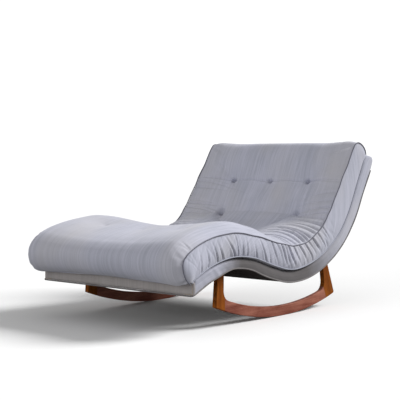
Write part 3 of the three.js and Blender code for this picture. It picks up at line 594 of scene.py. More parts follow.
def wood_material(name, light, dark, shine):
    """Oiled wood: growth rings drawn out along the grain, pores and blotches."""
    material, tree = new_material(name)
    figure = noise_value(tree, coordinates(tree, "grain", (2.2, 26.0, 30.0)), 3.0, 0.5, 0.9)
    board = coordinates(tree, "grain", (1.1, 60.0, 48.0))
    rings = add_node(
        tree, "ShaderNodeTexWave",
        {"Vector": board, "Scale": 1.0, "Distortion": 5.0, "Detail": 3.0, "Detail Scale": 1.3},
        wave_type="BANDS", bands_direction="Y", wave_profile="SAW",
    ).outputs["Fac"]
    pores = noise_value(tree, coordinates(tree, "grain", (55.0, 900.0, 900.0)), 2.0, 0.6)
    blotches = noise_value(tree, coordinates(tree, "grain", (7.0, 16.0, 14.0)))
    grain = summed(tree, (rings, 0.30), (figure, 0.55), (blotches, 0.45), (pores, 0.15))
    colour = mixed(tree, between(tree, grain, 0.52, 0.98), dark, light)
    marks = between(tree, pores, 0.30, 0.42, 0.72, 1.0)
    shaded = add_node(tree, "ShaderNodeCombineColor", {"Red": marks, "Green": marks, "Blue": marks})
    surface(
        tree, **{
            "Base Color": mixed(tree, 1.0, colour, shaded.outputs["Color"], "MULTIPLY"),
            "Roughness": between(tree, figure, 0.2, 0.8, shine, shine + 0.16),
            "Specular IOR Level": 0.05,
            "Normal": bumped(tree, summed(tree, (pores, 0.5), (rings, 0.3)), 0.0006, 0.4),
        },
    )
    return material


def steel_material():
    """Zinc-plated steel of the bolts and tee nuts."""
    material, tree = new_material("zinc_steel")
    spangle = object_noise(tree, 220.0, 3.0, 0.6)
    surface(
        tree, **{
            "Base Color": mixed(tree, spangle, (0.34, 0.34, 0.33), (0.60, 0.59, 0.56)),
            "Metallic": 1.0,
            "Roughness": between(tree, spangle, 0.3, 0.7, 0.28, 0.50),
            "Normal": bumped(tree, spangle, 0.0003, 0.3),
        },
    )
    return material


def shared_material(name, make, *details):
    """The material of that name, made the first time that it is asked for."""
    return bpy.data.materials.get(name) or make(name, *details)


def upholstery():
    return shared_material("napped_cloth", upholstery_material)


# The base's cloth, with painted shade on its band.
def band_cloth():
    return shared_material("band_cloth", upholstery_material, True)


# The cushion's upper piping, in a dark tone that paints the shade along its seams.
def piping():
    return shared_material("piping", piping_material, bpy.context.scene.chaise_cloth.seam_shade_piping_tone, 1.9)


def pale_piping():
    tone = scaled_tone(bpy.context.scene.chaise_cloth.dark_tone, 0.8)
    return shared_material("pale_piping", piping_material, tone, 1.35)


# The base's piping takes the band's darkened tone: painted shade.
def band_piping():
    return shared_material("band_piping", piping_material, bpy.context.scene.chaise_cloth.shaded_band_tone, 1.9)


# Lines read from the solids

def solid_points(node):
    """Distinct points of a solid, and its triangles between them."""
    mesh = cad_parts[node].data
    mesh.calc_loop_triangles()
    places = np.array([vertex.co for vertex in mesh.vertices])
    points, index = np.unique(np.round(places, 6), axis=0, return_inverse=True)
    triangles = index.ravel()[np.array([triangle.vertices[:] for triangle in mesh.loop_triangles])]
    return points, triangles


def edges_of(triangles):
    """How many triangles share each edge."""
    shared = {}
    for triangle in triangles:
        for a, b in ((0, 1), (1, 2), (2, 0)):
            key = tuple(sorted((int(triangle[a]), int(triangle[b]))))
            shared[key] = shared.get(key, 0) + 1
    return shared


def joined(edges):
    """Neighbours of each point, from the edges between points."""
    neighbours = {}
    for a, b in edges:
        neighbours.setdefault(a, []).append(b)
        neighbours.setdefault(b, []).append(a)
    return neighbours


def walk(neighbours, start):
    """Points in order from a start, along edges between them."""
    path = [start]
    last, here = start, neighbours[start][0]
    while here is not None and here != start:
        path.append(here)
        onward = [point for point in neighbours[here] if point != last]
        last, here = here, onward[0] if onward else None
    return path


def lines_across(node, place):
    """Lines (y, z) along a solid's surface at one place across, each from foot to head, lowest first."""
    points, triangles = solid_points(node)
    on_line = np.abs(points[:, 0] - place) < TOUCH
    neighbours = joined((a, b) for a, b in edges_of(triangles) if on_line[a] and on_line[b])
    ends = [point for point, near in neighbours.items() if len(near) == 1]
    lines = []
    while ends:
        path = walk(neighbours, ends[0])
        ends = [end for end in ends if end not in (path[0], path[-1])]
        line = points[path][:, 1:]
        lines.append(line if line[0][0] < line[-1][0] else line[::-1])
    return sorted(lines, key=lambda line: line[:, 1].mean())


def side_outline(node):
    """Outline (y, z) of a solid's flat left side, as a closed loop."""
    points, triangles = solid_points(node)
    on_side = points[:, 0] > points[:, 0].max() - TOUCH
    flat = [triangle for triangle in triangles if all(on_side[triangle])]
    neighbours = joined(edge for edge, count in edges_of(flat).items() if count == 1)
    start = min(neighbours, key=lambda point: points[point][1] + points[point][2])
    return points[walk(neighbours, start)][:, 1:]


def lengths_along(line):
    """Distance of each point of a line from its start."""
    steps = np.linalg.norm(np.diff(line, axis=0), axis=1)
    return np.concatenate([[0.0], np.cumsum(steps)])


def through(knots, values, at):
    """Smooth values through given ones, read at other places."""
    slopes = np.gradient(values, knots, axis=0)
    low = np.clip(np.searchsorted(knots, at, side="right") - 1, 0, len(knots) - 2)
    step = (knots[low + 1] - knots[low])[:, None]
    t = (at - knots[low])[:, None] / step
    first = (2 * t**3 - 3 * t**2 + 1) * values[low] + (t**3 - 2 * t**2 + t) * step * slopes[low]
    second = (3 * t**2 - 2 * t**3) * values[low + 1] + (t**3 - t**2) * step * slopes[low + 1]
    return first + second


def even_points(line, count):
    """A smooth line through the points of another, in a given number of even points."""
    knots = lengths_along(line)
    return through(knots, line, np.linspace(0, knots[-1], count))


def even_line(line, spacing):
    """A smooth line through the points of another, in even steps of about a given length."""
    return even_points(line, max(2, round(lengths_along(line)[-1] / spacing)) + 1)


def ahead_of(line):
    """Direction along a line at each of its points."""
    steps = np.gradient(line, axis=0)
    return steps / np.linalg.norm(steps, axis=1)[:, None]


def left_of(directions):
    """Directions turned a quarter turn, so that along the length they point up."""
    return np.stack([-directions[:, 1], directions[:, 0]], axis=1)


def middle_of(node):
    """Middle of a solid's box."""
    return sum(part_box(node), Vector()) / 2


# Hollows and folds

def reached(value, whole):
    """Share of a whole that a value reaches, from none to all of it."""
    return np.clip(value / whole, 0, 1)


def faded(value, start, length):
    """One up to a start, and down to none over a length."""
    return np.clip(1 - (value - start) / length, 0, 1)


def bell(off, power=2):
    """One in the middle and falling to none on both sides, at a distance in half widths."""
    return np.exp(-(np.abs(off) ** power))


def furrow(off, width, deep=1.0, ridge=0.5, sharp=2, narrow=1.0, broad=2.3):
    """Section across a fold: a hollow along its middle, and the cloth raised on both sides of it."""
    return deep * bell(off / (narrow * width), sharp) - ridge * bell(off / (broad * width))


# Meshes

def placed(name, data):
    """A new object in the scene."""
    made = bpy.data.objects.new(name, data)
    bpy.context.scene.collection.objects.link(made)
    return made


def new_piece(name, points, faces, material, body, replaced):
    """A smooth-shaded piece that rides on a body and stands for solids."""
    mesh = bpy.data.meshes.new(name)
    mesh.from_pydata([tuple(map(float, point)) for point in points], [], faces)
    mesh.validate()
    mesh.shade_smooth()
    mesh.materials.append(material)
    piece = placed(name, mesh)
    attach(piece, body)
    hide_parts(*replaced)
    return piece


def write_attribute(mesh, name, values):
    """Stores a vector at each point, for the materials."""
    attribute = mesh.attributes.get(name) or mesh.attributes.new(name, "FLOAT_VECTOR", "POINT")
    attribute.data.foreach_set("vector", np.asarray(values, np.float32).ravel())


def read_vectors(source, key):
    """One vector of each item as an array."""
    values = np.zeros(len(source) * 3, np.float32)
    source.foreach_get(key, values)
    return values.reshape(-1, 3).astype(float)


def read_points(mesh):
    """A mesh's points as an array."""
    return read_vectors(mesh.vertices, "co")


def write_points(mesh, points):
    """Moves a mesh's points."""
    mesh.vertices.foreach_set("co", np.asarray(points, np.float32).ravel())
    mesh.update()


def ring_faces(rings, sides, closed_rings=True):
    """Quads between rings of points. Open rings make a sheet."""
    faces = []
    for ring in range(rings - 1):
        for side in range(sides if closed_rings else sides - 1):
            here = ring * sides + side
            beside = ring * sides + (side + 1) % sides
            faces.append((here, beside, beside + sides, here + sides))
    return faces


def end_faces(rings, sides):
    """One face over the first ring of points and one over the last."""
    return [tuple(range(sides))[::-1], tuple(range((rings - 1) * sides, rings * sides))]


def lofted_faces(rings, sides):
    """Faces of a closed body: quads between closed rings of points, and one face over each end."""
    return ring_faces(rings, sides) + end_faces(rings, sides)


def apply_modifiers(piece):
    """Turns what a piece's modifiers show into its own mesh."""
    shown = piece.evaluated_get(bpy.context.evaluated_depsgraph_get())
    made = bpy.data.meshes.new_from_object(shown)
    piece.modifiers.clear()
    piece.data = made
    return made


def lay_cloth(mesh, first, second):
    """Cloth coordinates in metres on each quad between rings: its corners on one side line and the next."""
    corners = np.zeros((len(mesh.loops), 2))
    points = read_points(mesh)
    index = np.zeros(len(mesh.loops), np.int32)
    mesh.loops.foreach_get("vertex_index", index)
    corners[:, 0] = points[index, 0] + CLOTH_PLACES["ends"]
    corners[:, 1] = points[index, 1] + points[index, 2]
    quads = np.stack([first[:-1], second[:-1], second[1:], first[1:]], axis=2).reshape(-1, 2)
    corners[:len(quads)] = quads
    layer = mesh.uv_layers.new(name="cloth")
    layer.data.foreach_set("uv", corners.astype(np.float32).ravel())


def tube(name, centres, ups, radius, material, body, replaced):
    """Round cord along centres, slightly uneven, with its cloth coordinates."""
    ahead = ahead_of(centres)
    across = np.cross(ahead, ups)
    across /= np.linalg.norm(across, axis=1)[:, None]
    up = np.cross(across, ahead)
    along = lengths_along(centres)
    waves = [noise.noise(Vector((place * CORD_WAVES, len(name), 0.7))) for place in along]
    swell = 1 + CORD_SWELL * np.array(waves)
    turn = np.arange(CORD_SIDES) * 2 * math.pi / CORD_SIDES
    spokes = np.cos(turn)[None, :, None] * up[:, None, :] + np.sin(turn)[None, :, None] * across[:, None, :]
    points = centres[:, None, :] + radius * swell[:, None, None] * spokes
    faces = lofted_faces(len(centres), CORD_SIDES)
    piece = new_piece(name, points.reshape(-1, 3), faces, material, body, replaced)
    chart = lambda angle: np.stack(np.broadcast_arrays(radius * angle[None, :], along[:, None]), axis=2)
    lay_cloth(piece.data, chart(turn), chart(turn + 2 * math.pi / CORD_SIDES))
    return piece


# Cushion

class CushionForm:
    """The cushion's side view lines at stations along its run, read from its solid."""

    def __init__(self):
        settings = bpy.context.scene.chaise_cushion
        points, _ = solid_points("cushion_body")
        self.half = float(points[:, 0].max())
        inside = np.unique(np.round(points[:, 0], 4))
        self.footprint = float(inside[inside < self.half - UNDER_INSET][-1])
        button = middle_of("shoulder_button_left")
        lower, upper = lines_across("cushion_body", self.half)
        under = lines_across("cushion_body", self.footprint)[0]
        crown_line = lines_across("cushion_body", button.x / 2)[-1]
        crown = np.sum((crown_line - upper) * left_of(ahead_of(upper)), axis=1)
        steps = [np.linalg.norm(np.diff(line, axis=0), axis=1) for line in (lower, upper)]
        knots = np.concatenate([[0.0], np.cumsum((steps[0] + steps[1]) / 2)])
        rough = np.linspace(0, knots[-1], ROUGH_STATIONS)
        middle = through(knots, (lower + upper) / 2, rough)
        bend = self.bend_of(middle)
        row = rough[np.argmin(np.linalg.norm(middle - np.array([button.y, button.z]), axis=1))]
        plain, bent, near_row = STATION_SHARES
        at_bend, at_row = reached(np.abs(bend), SHARP_BEND), bell((rough - row) / STATION_REACH)
        crowding = np.cumsum(plain + bent * at_bend + near_row * at_row)
        count = round(lengths_along(upper)[-1] / settings.spacing)
        at = np.interp(np.linspace(crowding[0], crowding[-1], count + 1), crowding, rough)
        self.lower = through(knots, lower, at)
        self.upper = through(knots, upper, at)
        self.under = through(knots, under, at)
        self.crown = self.eased(through(knots, crown[:, None], at)[:, 0])
        self.ahead = ahead_of(self.upper)
        self.out = left_of(self.ahead)
        self.lower += self.out * settings.lower_lift
        self.lower_out = left_of(ahead_of(self.lower))
        self.run = lengths_along(self.upper)
        self.boxing = np.linalg.norm(self.upper - self.lower, axis=1)
        self.bend = self.bend_of((self.lower + self.upper) / 2)

    def eased(self, heights, reach=CROWN_EASE):
        """Heights along the run with their steps eased, as filling bridges them."""
        weights = np.hanning(2 * reach + 3)[1:-1]
        padded = np.pad(heights, reach, mode="edge")
        return np.convolve(padded, weights / weights.sum(), mode="valid")

    def bend_of(self, line):
        """How sharply a line bends at each point: below zero over a hump, above zero in a valley."""
        ahead = ahead_of(line)
        turn = np.gradient(np.unwrap(np.arctan2(ahead[:, 1], ahead[:, 0])))
        length = np.maximum(np.gradient(lengths_along(line)), HAIR)
        return np.convolve(turn / length, np.ones(BEND_STATIONS) / BEND_STATIONS, mode="same")

    def panel_heights(self, across):
        """Height of the plain crowned panel over the line between its side seams: stations by columns."""
        settings = bpy.context.scene.chaise_cushion
        inward = self.half - np.abs(across)
        share = reached(inward, settings.edge_reach)
        puff = settings.edge_puff * reached(self.crown, FULL_CROWN)
        plain = np.outer(self.crown, np.sin(share * np.pi / 2) ** 0.9) + np.outer(puff, np.sin(share * np.pi))
        at_foot = reached(self.run, FOOT_RISE) ** 0.6 * faded(self.run, FOOT_FADE, FOOT_CORNER_LENGTH) ** 1.5
        corner = bell(np.maximum(inward - CORNER_HOLD, 0) / CORNER_FADE)[None, :]
        right_across = faded(self.run, FOOT_FADE, FOOT_ACROSS_LENGTH)[:, None]
        edge = (reached(inward, CORNER_RISE) ** 0.5)[None, :]
        plain += settings.corner_puff * at_foot[:, None] * edge * (corner + (1 - corner) * right_across)
        knots, *columns = np.array(PANEL_ROLL).T
        eased = [self.eased(np.interp(self.run, knots, column), ROLL_EASE) for column in columns]
        height, peak, sag = np.array(eased)[:, :, None]
        roll = np.maximum(inward, 0)[None, :] / peak
        plain += settings.edge_roll * height * (roll * np.exp(1 - roll)) ** 1.4
        return plain - settings.middle_sag * sag * bell(across / SAG_WIDTH)[None, :]

    def flare(self):
        """How far the side seams splay out at the foot's corners, at each station."""
        ease = faded(self.run, 0, FLARE_LENGTH)
        return bpy.context.scene.chaise_cushion.corner_flare * ease * ease * (3 - 2 * ease)

    def boxing_bulge(self, rise):
        """How far each boxing stands out: stations by places up its height."""
        settings = bpy.context.scene.chaise_cushion
        gathered = reached(np.abs(self.eased(self.bend)), GATHERED_BEND)
        gathered *= np.interp(self.run, BACK_TAUT, (1, 0))
        size = (settings.boxing_puff + settings.gather_puff * gathered) * reached(self.boxing, FULL_BOXING)
        return np.outer(size, np.sin(np.pi * rise**0.8))


def tufts_of(form):
    """Each button with its row's values, its station, place across and depth below the plain panel."""
    found = []
    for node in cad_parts:
        if "_button_" not in node:
            continue
        row = TUFT_ROWS[node.split("_")[0]]
        middle = middle_of(node)
        height = form.panel_heights(np.array([middle.x]))[:, 0]
        top = form.upper + form.out * height[:, None]
        away = np.array([middle.y, middle.z]) - top
        off = np.abs(np.sum(away * form.ahead, axis=1)) + (np.linalg.norm(away, axis=1) > BUTTON_NEAR)
        station = int(np.argmin(off))
        depth = -float(np.sum(away[station] * form.out[station]))
        middle += Vector((0, *form.out[station])) * (depth * (1 - row["shown"]) - row["sunk"])
        found.append({
            **row, "node": node, "station": station, "across": middle.x, "middle": middle,
            "depth": depth * row["shown"],
        })
    return found


def softness_of(tuft):
    """Share of a tuft's depth that lies in its soft hollow."""
    return FOOT_SOFTNESS if "foot" in tuft["node"] else bpy.context.scene.chaise_cushion.tuft_softness


def away_from(tuft, form, across):
    """Distance over the panel from a button: stations by columns."""
    along = form.run - form.run[tuft["station"]]
    return np.hypot(along[:, None], (across - tuft["across"])[None, :])


def tuft_drop(form, tufts, across):
    """How far the buttons pull the panel down: stations by columns."""
    reach = bpy.context.scene.chaise_cushion.tuft_reach
    cubes = np.zeros((len(form.run), len(across)))
    for tuft in tufts:
        soft = bell(away_from(tuft, form, across) / (reach * tuft["reach"]))
        cubes += (tuft["depth"] * softness_of(tuft) * soft) ** 3
    return np.cbrt(cubes)


class Folds:
    """Fine folds, creases and dimples of the cover, laid over its smoothed mesh."""

    def __init__(self, form, tufts):
        self.form = form
        self.tufts = tufts
        self.settings = bpy.context.scene.chaise_cushion

    def boxing_drop(self, side, run, rise):
        """How far one boxing's folds pull it in at points along its run and up its height."""
        rng = random.Random(self.settings.seed + SIDES[side])
        drop = np.zeros(len(run))
        for top, bottom, depth, width, seam in BOXING_FOLDS:
            shift = 0.0 if side == "left" else rng.uniform(-0.02, 0.02)
            depth *= self.settings.gather_depth * rng.uniform(0.9, 1.1) / GATHER_DEPTH
            width *= rng.uniform(0.9, 1.1)
            first = self.place_on(self.form.lower, bottom + shift)
            last = self.place_on(self.form.upper, top + shift)
            bow = FOLD_BOW * np.sin(rise * math.pi) * rng.uniform(-1, 1)
            beside = run - first * (1 - rise) - last * rise - bow
            away = rise if seam == "lower" else 1 - rise
            fade = np.clip(1 - (away / rng.uniform(0.85, 1.2)) ** 2, 0, 1) * (0.45 + 0.55 * (1 - away))
            drop += depth * fade * furrow(beside, width, deep=1.30, ridge=0.55, sharp=1.3, narrow=0.8)
        for _ in range(FINE_FOLDS):
            place, depth = rng.uniform(0.03, 1.35), rng.uniform(0.0006, 0.0020)
            lean, middle = rng.uniform(-0.02, 0.07), rng.uniform(0, 1)
            beside = run - place - lean * (0.5 - rise)
            fade = bell((rise - middle) / rng.uniform(0.25, 0.5))
            drop += depth * fade * bell(beside / rng.uniform(0.004, 0.007))
        return drop * reached(np.minimum(rise, 1 - rise), SEAM_SHARE)

    def place_on(self, line, y):
        """Place along the run where a seam line reaches y."""
        first, last = int(np.argmin(line[:, 0])), int(np.argmax(line[:, 0]))
        return float(np.interp(y, line[first:last, 0], self.form.run[first:last]))

    def pucker_drop(self, run, across):
        """Puckers that run in from the side seams where the panel dips and up the lower back."""
        settings, form = self.settings, self.form
        drop = np.zeros(len(run))
        for side, way in SIDES.items():
            rng = random.Random(settings.seed + PUCKER_SEED + way)
            button = next(t for t in self.tufts if "lumbar" in t["node"] and t["across"] * way > 0)
            to_button, button_in = form.run[button["station"]], form.half - abs(button["across"])
            for y in PANEL_PUCKERS:
                place = self.place_on(form.upper, y + (0.0 if side == "left" else rng.uniform(-0.015, 0.015)))
                share = math.sin(math.pi * min(1.0, max(0.0, (y - PUCKERED[0]) / PUCKERED[1])))
                depth = settings.pucker_depth * share**0.7 * rng.uniform(0.5, 1.0)
                width, length = rng.uniform(0.0075, 0.0110), rng.uniform(0.16, 0.30)
                pull = rng.uniform(-0.06, 0.12)
                bow = rng.uniform(-0.2, 0.5)
                inward = form.half - across * way
                share_in = reached(inward, button_in)
                beside = run - place - (to_button - place) * pull * share_in + bow * inward**2
                width = width * (1 - 0.45 * share_in)
                fade = reached(inward, PUCKER_RISE) * bell(np.maximum(inward, 0) / length, 2.2)
                drop += depth * fade * furrow(beside, width, deep=1.2, ridge=0.6, sharp=1.5)
        return drop

    def tuft_folds(self, run, across):
        """Dimples at the buttons, folds that run out from them, and the line through the shoulder row."""
        settings, form = self.settings, self.form
        drop = np.zeros(len(run))
        for number, tuft in enumerate(self.tufts):
            along, beside = run - form.run[tuft["station"]], across - tuft["across"]
            near = np.hypot(along, beside) < TUFT_AREA
            along, beside = along[near], beside[near]
            away = np.hypot(along, beside)
            pinch = bell(away / (settings.tuft_pinch * tuft["pinch"]), 1.8)
            drop[near] += (tuft["depth"] * (1 - softness_of(tuft)) + tuft["sunk"]) * pinch
            lumbar = "lumbar" in tuft["node"]
            if lumbar:
                radius, depth = LUMBAR_POCKET
                drop[near] += depth * bell(away / radius)
            rng = random.Random(settings.seed + RAY_SEED + number)
            way = math.copysign(1, tuft["across"] or 1)
            turn = np.arctan2(along, beside * way)
            for _ in range(tuft["rays"]):
                angle, width = rng.uniform(-math.pi, math.pi), rng.uniform(0.10, 0.20)
                off = np.angle(np.exp(1j * (turn - angle)))
                toward_seat = 0.35 + 0.65 * max(0.0, math.cos(angle + 0.9)) if lumbar else 1.0
                strength = settings.ray_depth * tuft["ray_depth"] * toward_seat
                fade = reached(away, RAY_RISE) * bell(away / (tuft["ray_reach"] * rng.uniform(0.6, 1.3)))
                drop[near] += strength * fade * furrow(off, width, broad=2.2)
            if lumbar:
                drop[near] += self.seat_fold(way, along, beside)
        row = next(tuft for tuft in self.tufts if "shoulder" in tuft["node"])
        off = run - form.run[row["station"]]
        line = bell(off / ROW_CREASE, 1.3) - 0.20 * bell(off / ROW_SWELLING)
        line -= 0.45 * bell((off - ROW_RIDGE[0]) / ROW_RIDGE[1])
        return drop + settings.row_depth * reached(form.half - np.abs(across), ROW_RISE) * line

    def seat_fold(self, way, along, beside):
        """The long fold from a lower back button to the seat's middle, with a ridge on its outer side."""
        inward, length, width, depth = SEAT_FOLD
        down = math.sqrt(1 - inward**2)
        onward = -way * inward * beside - down * along
        off = way * down * beside - inward * along
        wider = width * (0.6 + 0.8 * reached(onward, length))
        fade = reached(onward, PUCKER_RISE) * bell(onward / length)
        return depth * fade * (bell(off / wider) - 0.6 * bell((off - 2.0 * wider) / (1.6 * wider)))

    def corner_folds(self, run, across):
        """Short gathers at the foot's corners, where the panel is eased round to the boxing."""
        rng = random.Random(self.settings.seed + CORNER_SEED)
        drop = np.zeros(len(run))
        for way in SIDES.values():
            inward = self.form.half - across * way
            for _ in range(CORNER_FOLDS):
                place, length = rng.uniform(0.01, 0.20), rng.uniform(0.022, 0.040)
                beside = run - place + rng.uniform(-0.5, 0.5) * inward
                width = rng.uniform(0.005, 0.009)
                fade = reached(inward, CORNER_FOLD_RISE) * bell(np.maximum(inward, 0) / length)
                drop += self.settings.corner_depth * rng.uniform(0.4, 1.0) * fade * furrow(beside, width)
        return drop

    def lay(self, mesh):
        """Moves the points of the smoothed cover."""
        points = read_points(mesh)
        across, run, rise = read_vectors(mesh.attributes["spot"].data, "vector").T
        normals = read_vectors(mesh.vertex_normals, "vector")
        panel = rise > 0.999
        drop = np.zeros(len(points))
        for side, way in SIDES.items():
            boxing = (rise > 0.001) & ~panel & (across * way > 0)
            drop[boxing] = self.boxing_drop(side, run[boxing], rise[boxing])
        spots = (run[panel], across[panel])
        drop[panel] = self.pucker_drop(*spots) + self.tuft_folds(*spots)
        drop[panel] += self.corner_folds(*spots)
        write_points(mesh, points - normals * drop[:, None])


class CushionGrid:
    """Rings of points round the cushion: underside, right boxing, top panel, left boxing."""

    def __init__(self, form):
        settings = bpy.context.scene.chaise_cushion
        self.form = form
        wide = round(2 * form.half / settings.spacing)
        tall = settings.boxing_rows
        under = np.linspace(1, -1, UNDER_COLUMNS) * form.footprint
        rise = np.arange(tall) / tall
        self.under = slice(0, UNDER_COLUMNS)
        self.right = slice(self.under.stop, self.under.stop + tall)
        self.panel = slice(self.right.stop, self.right.stop + wide + 1)
        self.left = slice(self.panel.stop, self.panel.stop + tall)
        self.sides = self.left.stop
        panel = np.linspace(-1, 1, wide + 1) * form.half
        self.across = np.concatenate([under, np.full(tall, -form.half), panel, np.full(tall, form.half)])
        self.rise = np.concatenate([
            np.zeros(UNDER_COLUMNS), rise, np.ones(wide + 1), 1 - (1 + np.arange(tall)) / tall,
        ])

    def places(self, tufts):
        """Every point before the cloth settles: rings by sides by three."""
        form = self.form
        spots = np.zeros((len(form.run), self.sides, 3))
        flare = form.flare()[:, None]
        spots[:, :, 0] = self.across + flare * (self.across / form.half) ** 5
        spots[:, self.under, 1:] = form.under[:, None, :]
        across = self.across[self.panel]
        height = form.panel_heights(across) - tuft_drop(form, tufts, across)
        height += flare * np.abs(across / form.half)[None, :] ** 6
        spots[:, self.panel, 1:] = form.upper[:, None, :] + form.out[:, None, :] * height[:, :, None]
        upper = form.upper + form.out * flare
        for name, part in (("right", self.right), ("left", self.left)):
            rise = self.rise[part]
            spots[:, part, 0] = SIDES[name] * (form.half + form.boxing_bulge(rise) + flare)
            up = rise[None, :, None]
            spots[:, part, 1:] = form.lower[:, None, :] * (1 - up) + upper[:, None, :] * up
        return spots

    def cloth(self):
        """Cloth coordinates of each quad's two edges along the run: panel, boxing and underside lie apart."""
        form = self.form
        rings = len(form.run)
        flat = lambda side: np.column_stack([np.full(rings, self.across[side]), form.run])

        def tall(side):
            """The boxings are cut on the bias."""
            along, up = form.run + CLOTH_PLACES["boxings"], self.rise[side] * form.boxing
            turned = bpy.context.scene.chaise_cushion.boxing_bias
            return np.column_stack([along * math.sin(turned) - up * math.cos(turned),
                                    along * math.cos(turned) + up * math.sin(turned)])

        first, second = np.zeros((rings, self.sides, 2)), np.zeros((rings, self.sides, 2))
        for side in range(self.sides):
            onward = (side + 1) % self.sides
            in_panel = self.panel.start <= side < self.panel.stop - 1
            in_under = side < self.right.start or side == self.sides - 1
            chart = flat if in_panel or in_under else tall
            shift = 0
            if in_under:
                shift = CLOTH_PLACES["underside"]
            elif side >= self.panel.stop - 1:
                shift = CLOTH_PLACES["left_boxing"]
            first[:, side] = chart(side) + (shift, 0)
            second[:, side] = chart(onward) + (shift, 0)
        return first, second

    def held(self, tufts):
        """Points that the cloth can't move: seams, underside, ends and the seats of the buttons."""
        form = self.form
        fixed = np.zeros((len(form.run), self.sides))
        fixed[:, self.under] = 1
        fixed[:, (self.right.start, self.panel.start, self.panel.stop - 1, self.sides - 1)] = 1
        fixed[[0, 1, -2, -1]] = 1
        for tuft in tufts:
            fixed[:, self.panel][away_from(tuft, form, self.across[self.panel]) < TUFT_SEAT] = 1
        return fixed

    def fulness(self, tufts):
        """Where there is more cloth than the form needs: boxings' bends, the panel's edges and its tufts."""
        form = self.form
        across = self.across[self.panel]
        bend = reached(np.abs(form.bend), SHARP_BEND)[:, None]
        share = np.zeros((len(form.run), self.sides))
        for part in (self.right, self.left):
            share[:, part] = 0.05 + 0.95 * bend
        edge = bell((form.half - np.abs(across)) / EDGE_SLACK)[None, :]
        share[:, self.panel] = 0.6 * edge * reached(form.bend, SHARP_BEND)[:, None]
        for tuft in tufts:
            slack = tuft["slack"] * bell(away_from(tuft, form, across) / TUFT_SLACK)
            share[:, self.panel] = np.maximum(share[:, self.panel], slack)
        return share


def settled(piece, grid, tufts):
    """Moves of the cover's points as the cloth settles under the filling's push: rings by sides by three."""
    settings = bpy.context.scene.chaise_cushion
    for name, weights in (("held", grid.held(tufts)), ("full", grid.fulness(tufts))):
        group = piece.vertex_groups.new(name=name)
        for index, weight in enumerate(weights.ravel()):
            if weight > 0:
                group.add([index], float(weight), "REPLACE")
    cloth = piece.modifiers.new("cloth", "CLOTH")
    cover = cloth.settings
    cover.quality = 5
    cover.mass = 0.25
    cover.tension_stiffness = cover.compression_stiffness = 12
    cover.shear_stiffness = 4
    cover.bending_stiffness = settings.stiffness
    cover.vertex_group_mass = "held"
    cover.vertex_group_shrink = "full"
    cover.shrink_min = 0
    cover.shrink_max = -settings.fullness
    cover.use_pressure = True
    cover.uniform_pressure_force = settings.push
    cover.effector_weights.gravity = 0
    cloth.collision_settings.use_collision = False
    start = read_points(piece.data)
    for step in range(1, SETTLING_STEPS + 1):
        bpy.context.scene.frame_set(step)
    shown = piece.evaluated_get(bpy.context.evaluated_depsgraph_get())
    moved = read_points(shown.data) - start
    piece.modifiers.clear()
    piece.vertex_groups.clear()
    bpy.context.scene.frame_set(1)
    return moved.reshape(len(grid.form.run), grid.sides, 3)


def blurred(values, reach):
    """Values averaged twice over their neighbours along the rings and round them."""
    for axis, ends in ((0, "edge"), (1, "wrap")) * 2:
        padded = np.pad(np.moveaxis(values, axis, 0), ((reach, reach), (0, 0), (0, 0)), mode=ends)
        sums = np.cumsum(np.pad(padded, ((1, 0), (0, 0), (0, 0))), axis=0)
        means = (sums[2 * reach + 1:] - sums[:-2 * reach - 1]) / (2 * reach + 1)
        values = np.moveaxis(means, 0, axis)
    return values


class CHAISE_OT_cushion(bpy.types.Operator):
    """Build the loose cushion: crowned panel, gathered boxing and tufts"""

    bl_idname = "chaise.cushion"
    bl_label = "Cushion"

    def execute(self, context):
        settings = context.scene.chaise_cushion
        form = CushionForm()
        tufts = tufts_of(form)
        grid = CushionGrid(form)
        spots = grid.places(tufts)
        rings = len(form.run)
        faces = lofted_faces(rings, grid.sides)
        cushion = new_piece("cushion", spots.reshape(-1, 3), faces, upholstery(), "cushion",
                            ["cushion_body"])
        lay_cloth(cushion.data, *grid.cloth())
        run = np.repeat(form.run[:, None], grid.sides, axis=1)
        chart = np.stack(np.broadcast_arrays(grid.across[None, :], run, grid.rise[None, :]), axis=2)
        write_attribute(cushion.data, "spot", chart)
        moves = settled(cushion, grid, tufts)
        moves -= (1 - settings.swell) * blurred(moves, SWELLING_REACH)
        size = np.linalg.norm(moves, axis=2, keepdims=True)
        moves *= np.minimum(1, settings.move_limit / np.maximum(size, HAIR))
        plain = np.interp(form.run, FOOT_PLAIN, (0, 1))
        middle = np.interp(np.abs(grid.across[grid.panel]), MIDDLE_CALM, (MIDDLE_SHARE, 1))
        moves[:, grid.panel] *= plain[:, None, None] * middle[None, :, None]
        taut = np.interp(form.run, BACK_TAUT, (1, TAUT_SHARE))
        for part in (grid.right, grid.left):
            moves[:, part] *= taut[:, None, None]
        write_points(cushion.data, (spots + moves).reshape(-1, 3))
        self.crease_seams(cushion.data, grid, rings)
        smooth = cushion.modifiers.new("smooth", "SUBSURF")
        smooth.levels = smooth.render_levels = 1
        Folds(form, tufts).lay(apply_modifiers(cushion))
        cushion.data.attributes.remove(cushion.data.attributes["spot"])
        return {"FINISHED"}

    def crease_seams(self, mesh, grid, rings):
        """Keeps the four side seams crisp when the mesh is smoothed."""
        seams = {grid.right.start, grid.panel.start, grid.panel.stop - 1, grid.sides - 1}
        crease = mesh.attributes.new("crease_edge", "FLOAT", "EDGE")
        for edge in mesh.edges:
            a, b = edge.vertices
            if a % grid.sides in seams and a % grid.sides == b % grid.sides:
                crease.data[edge.index].value = 1.0


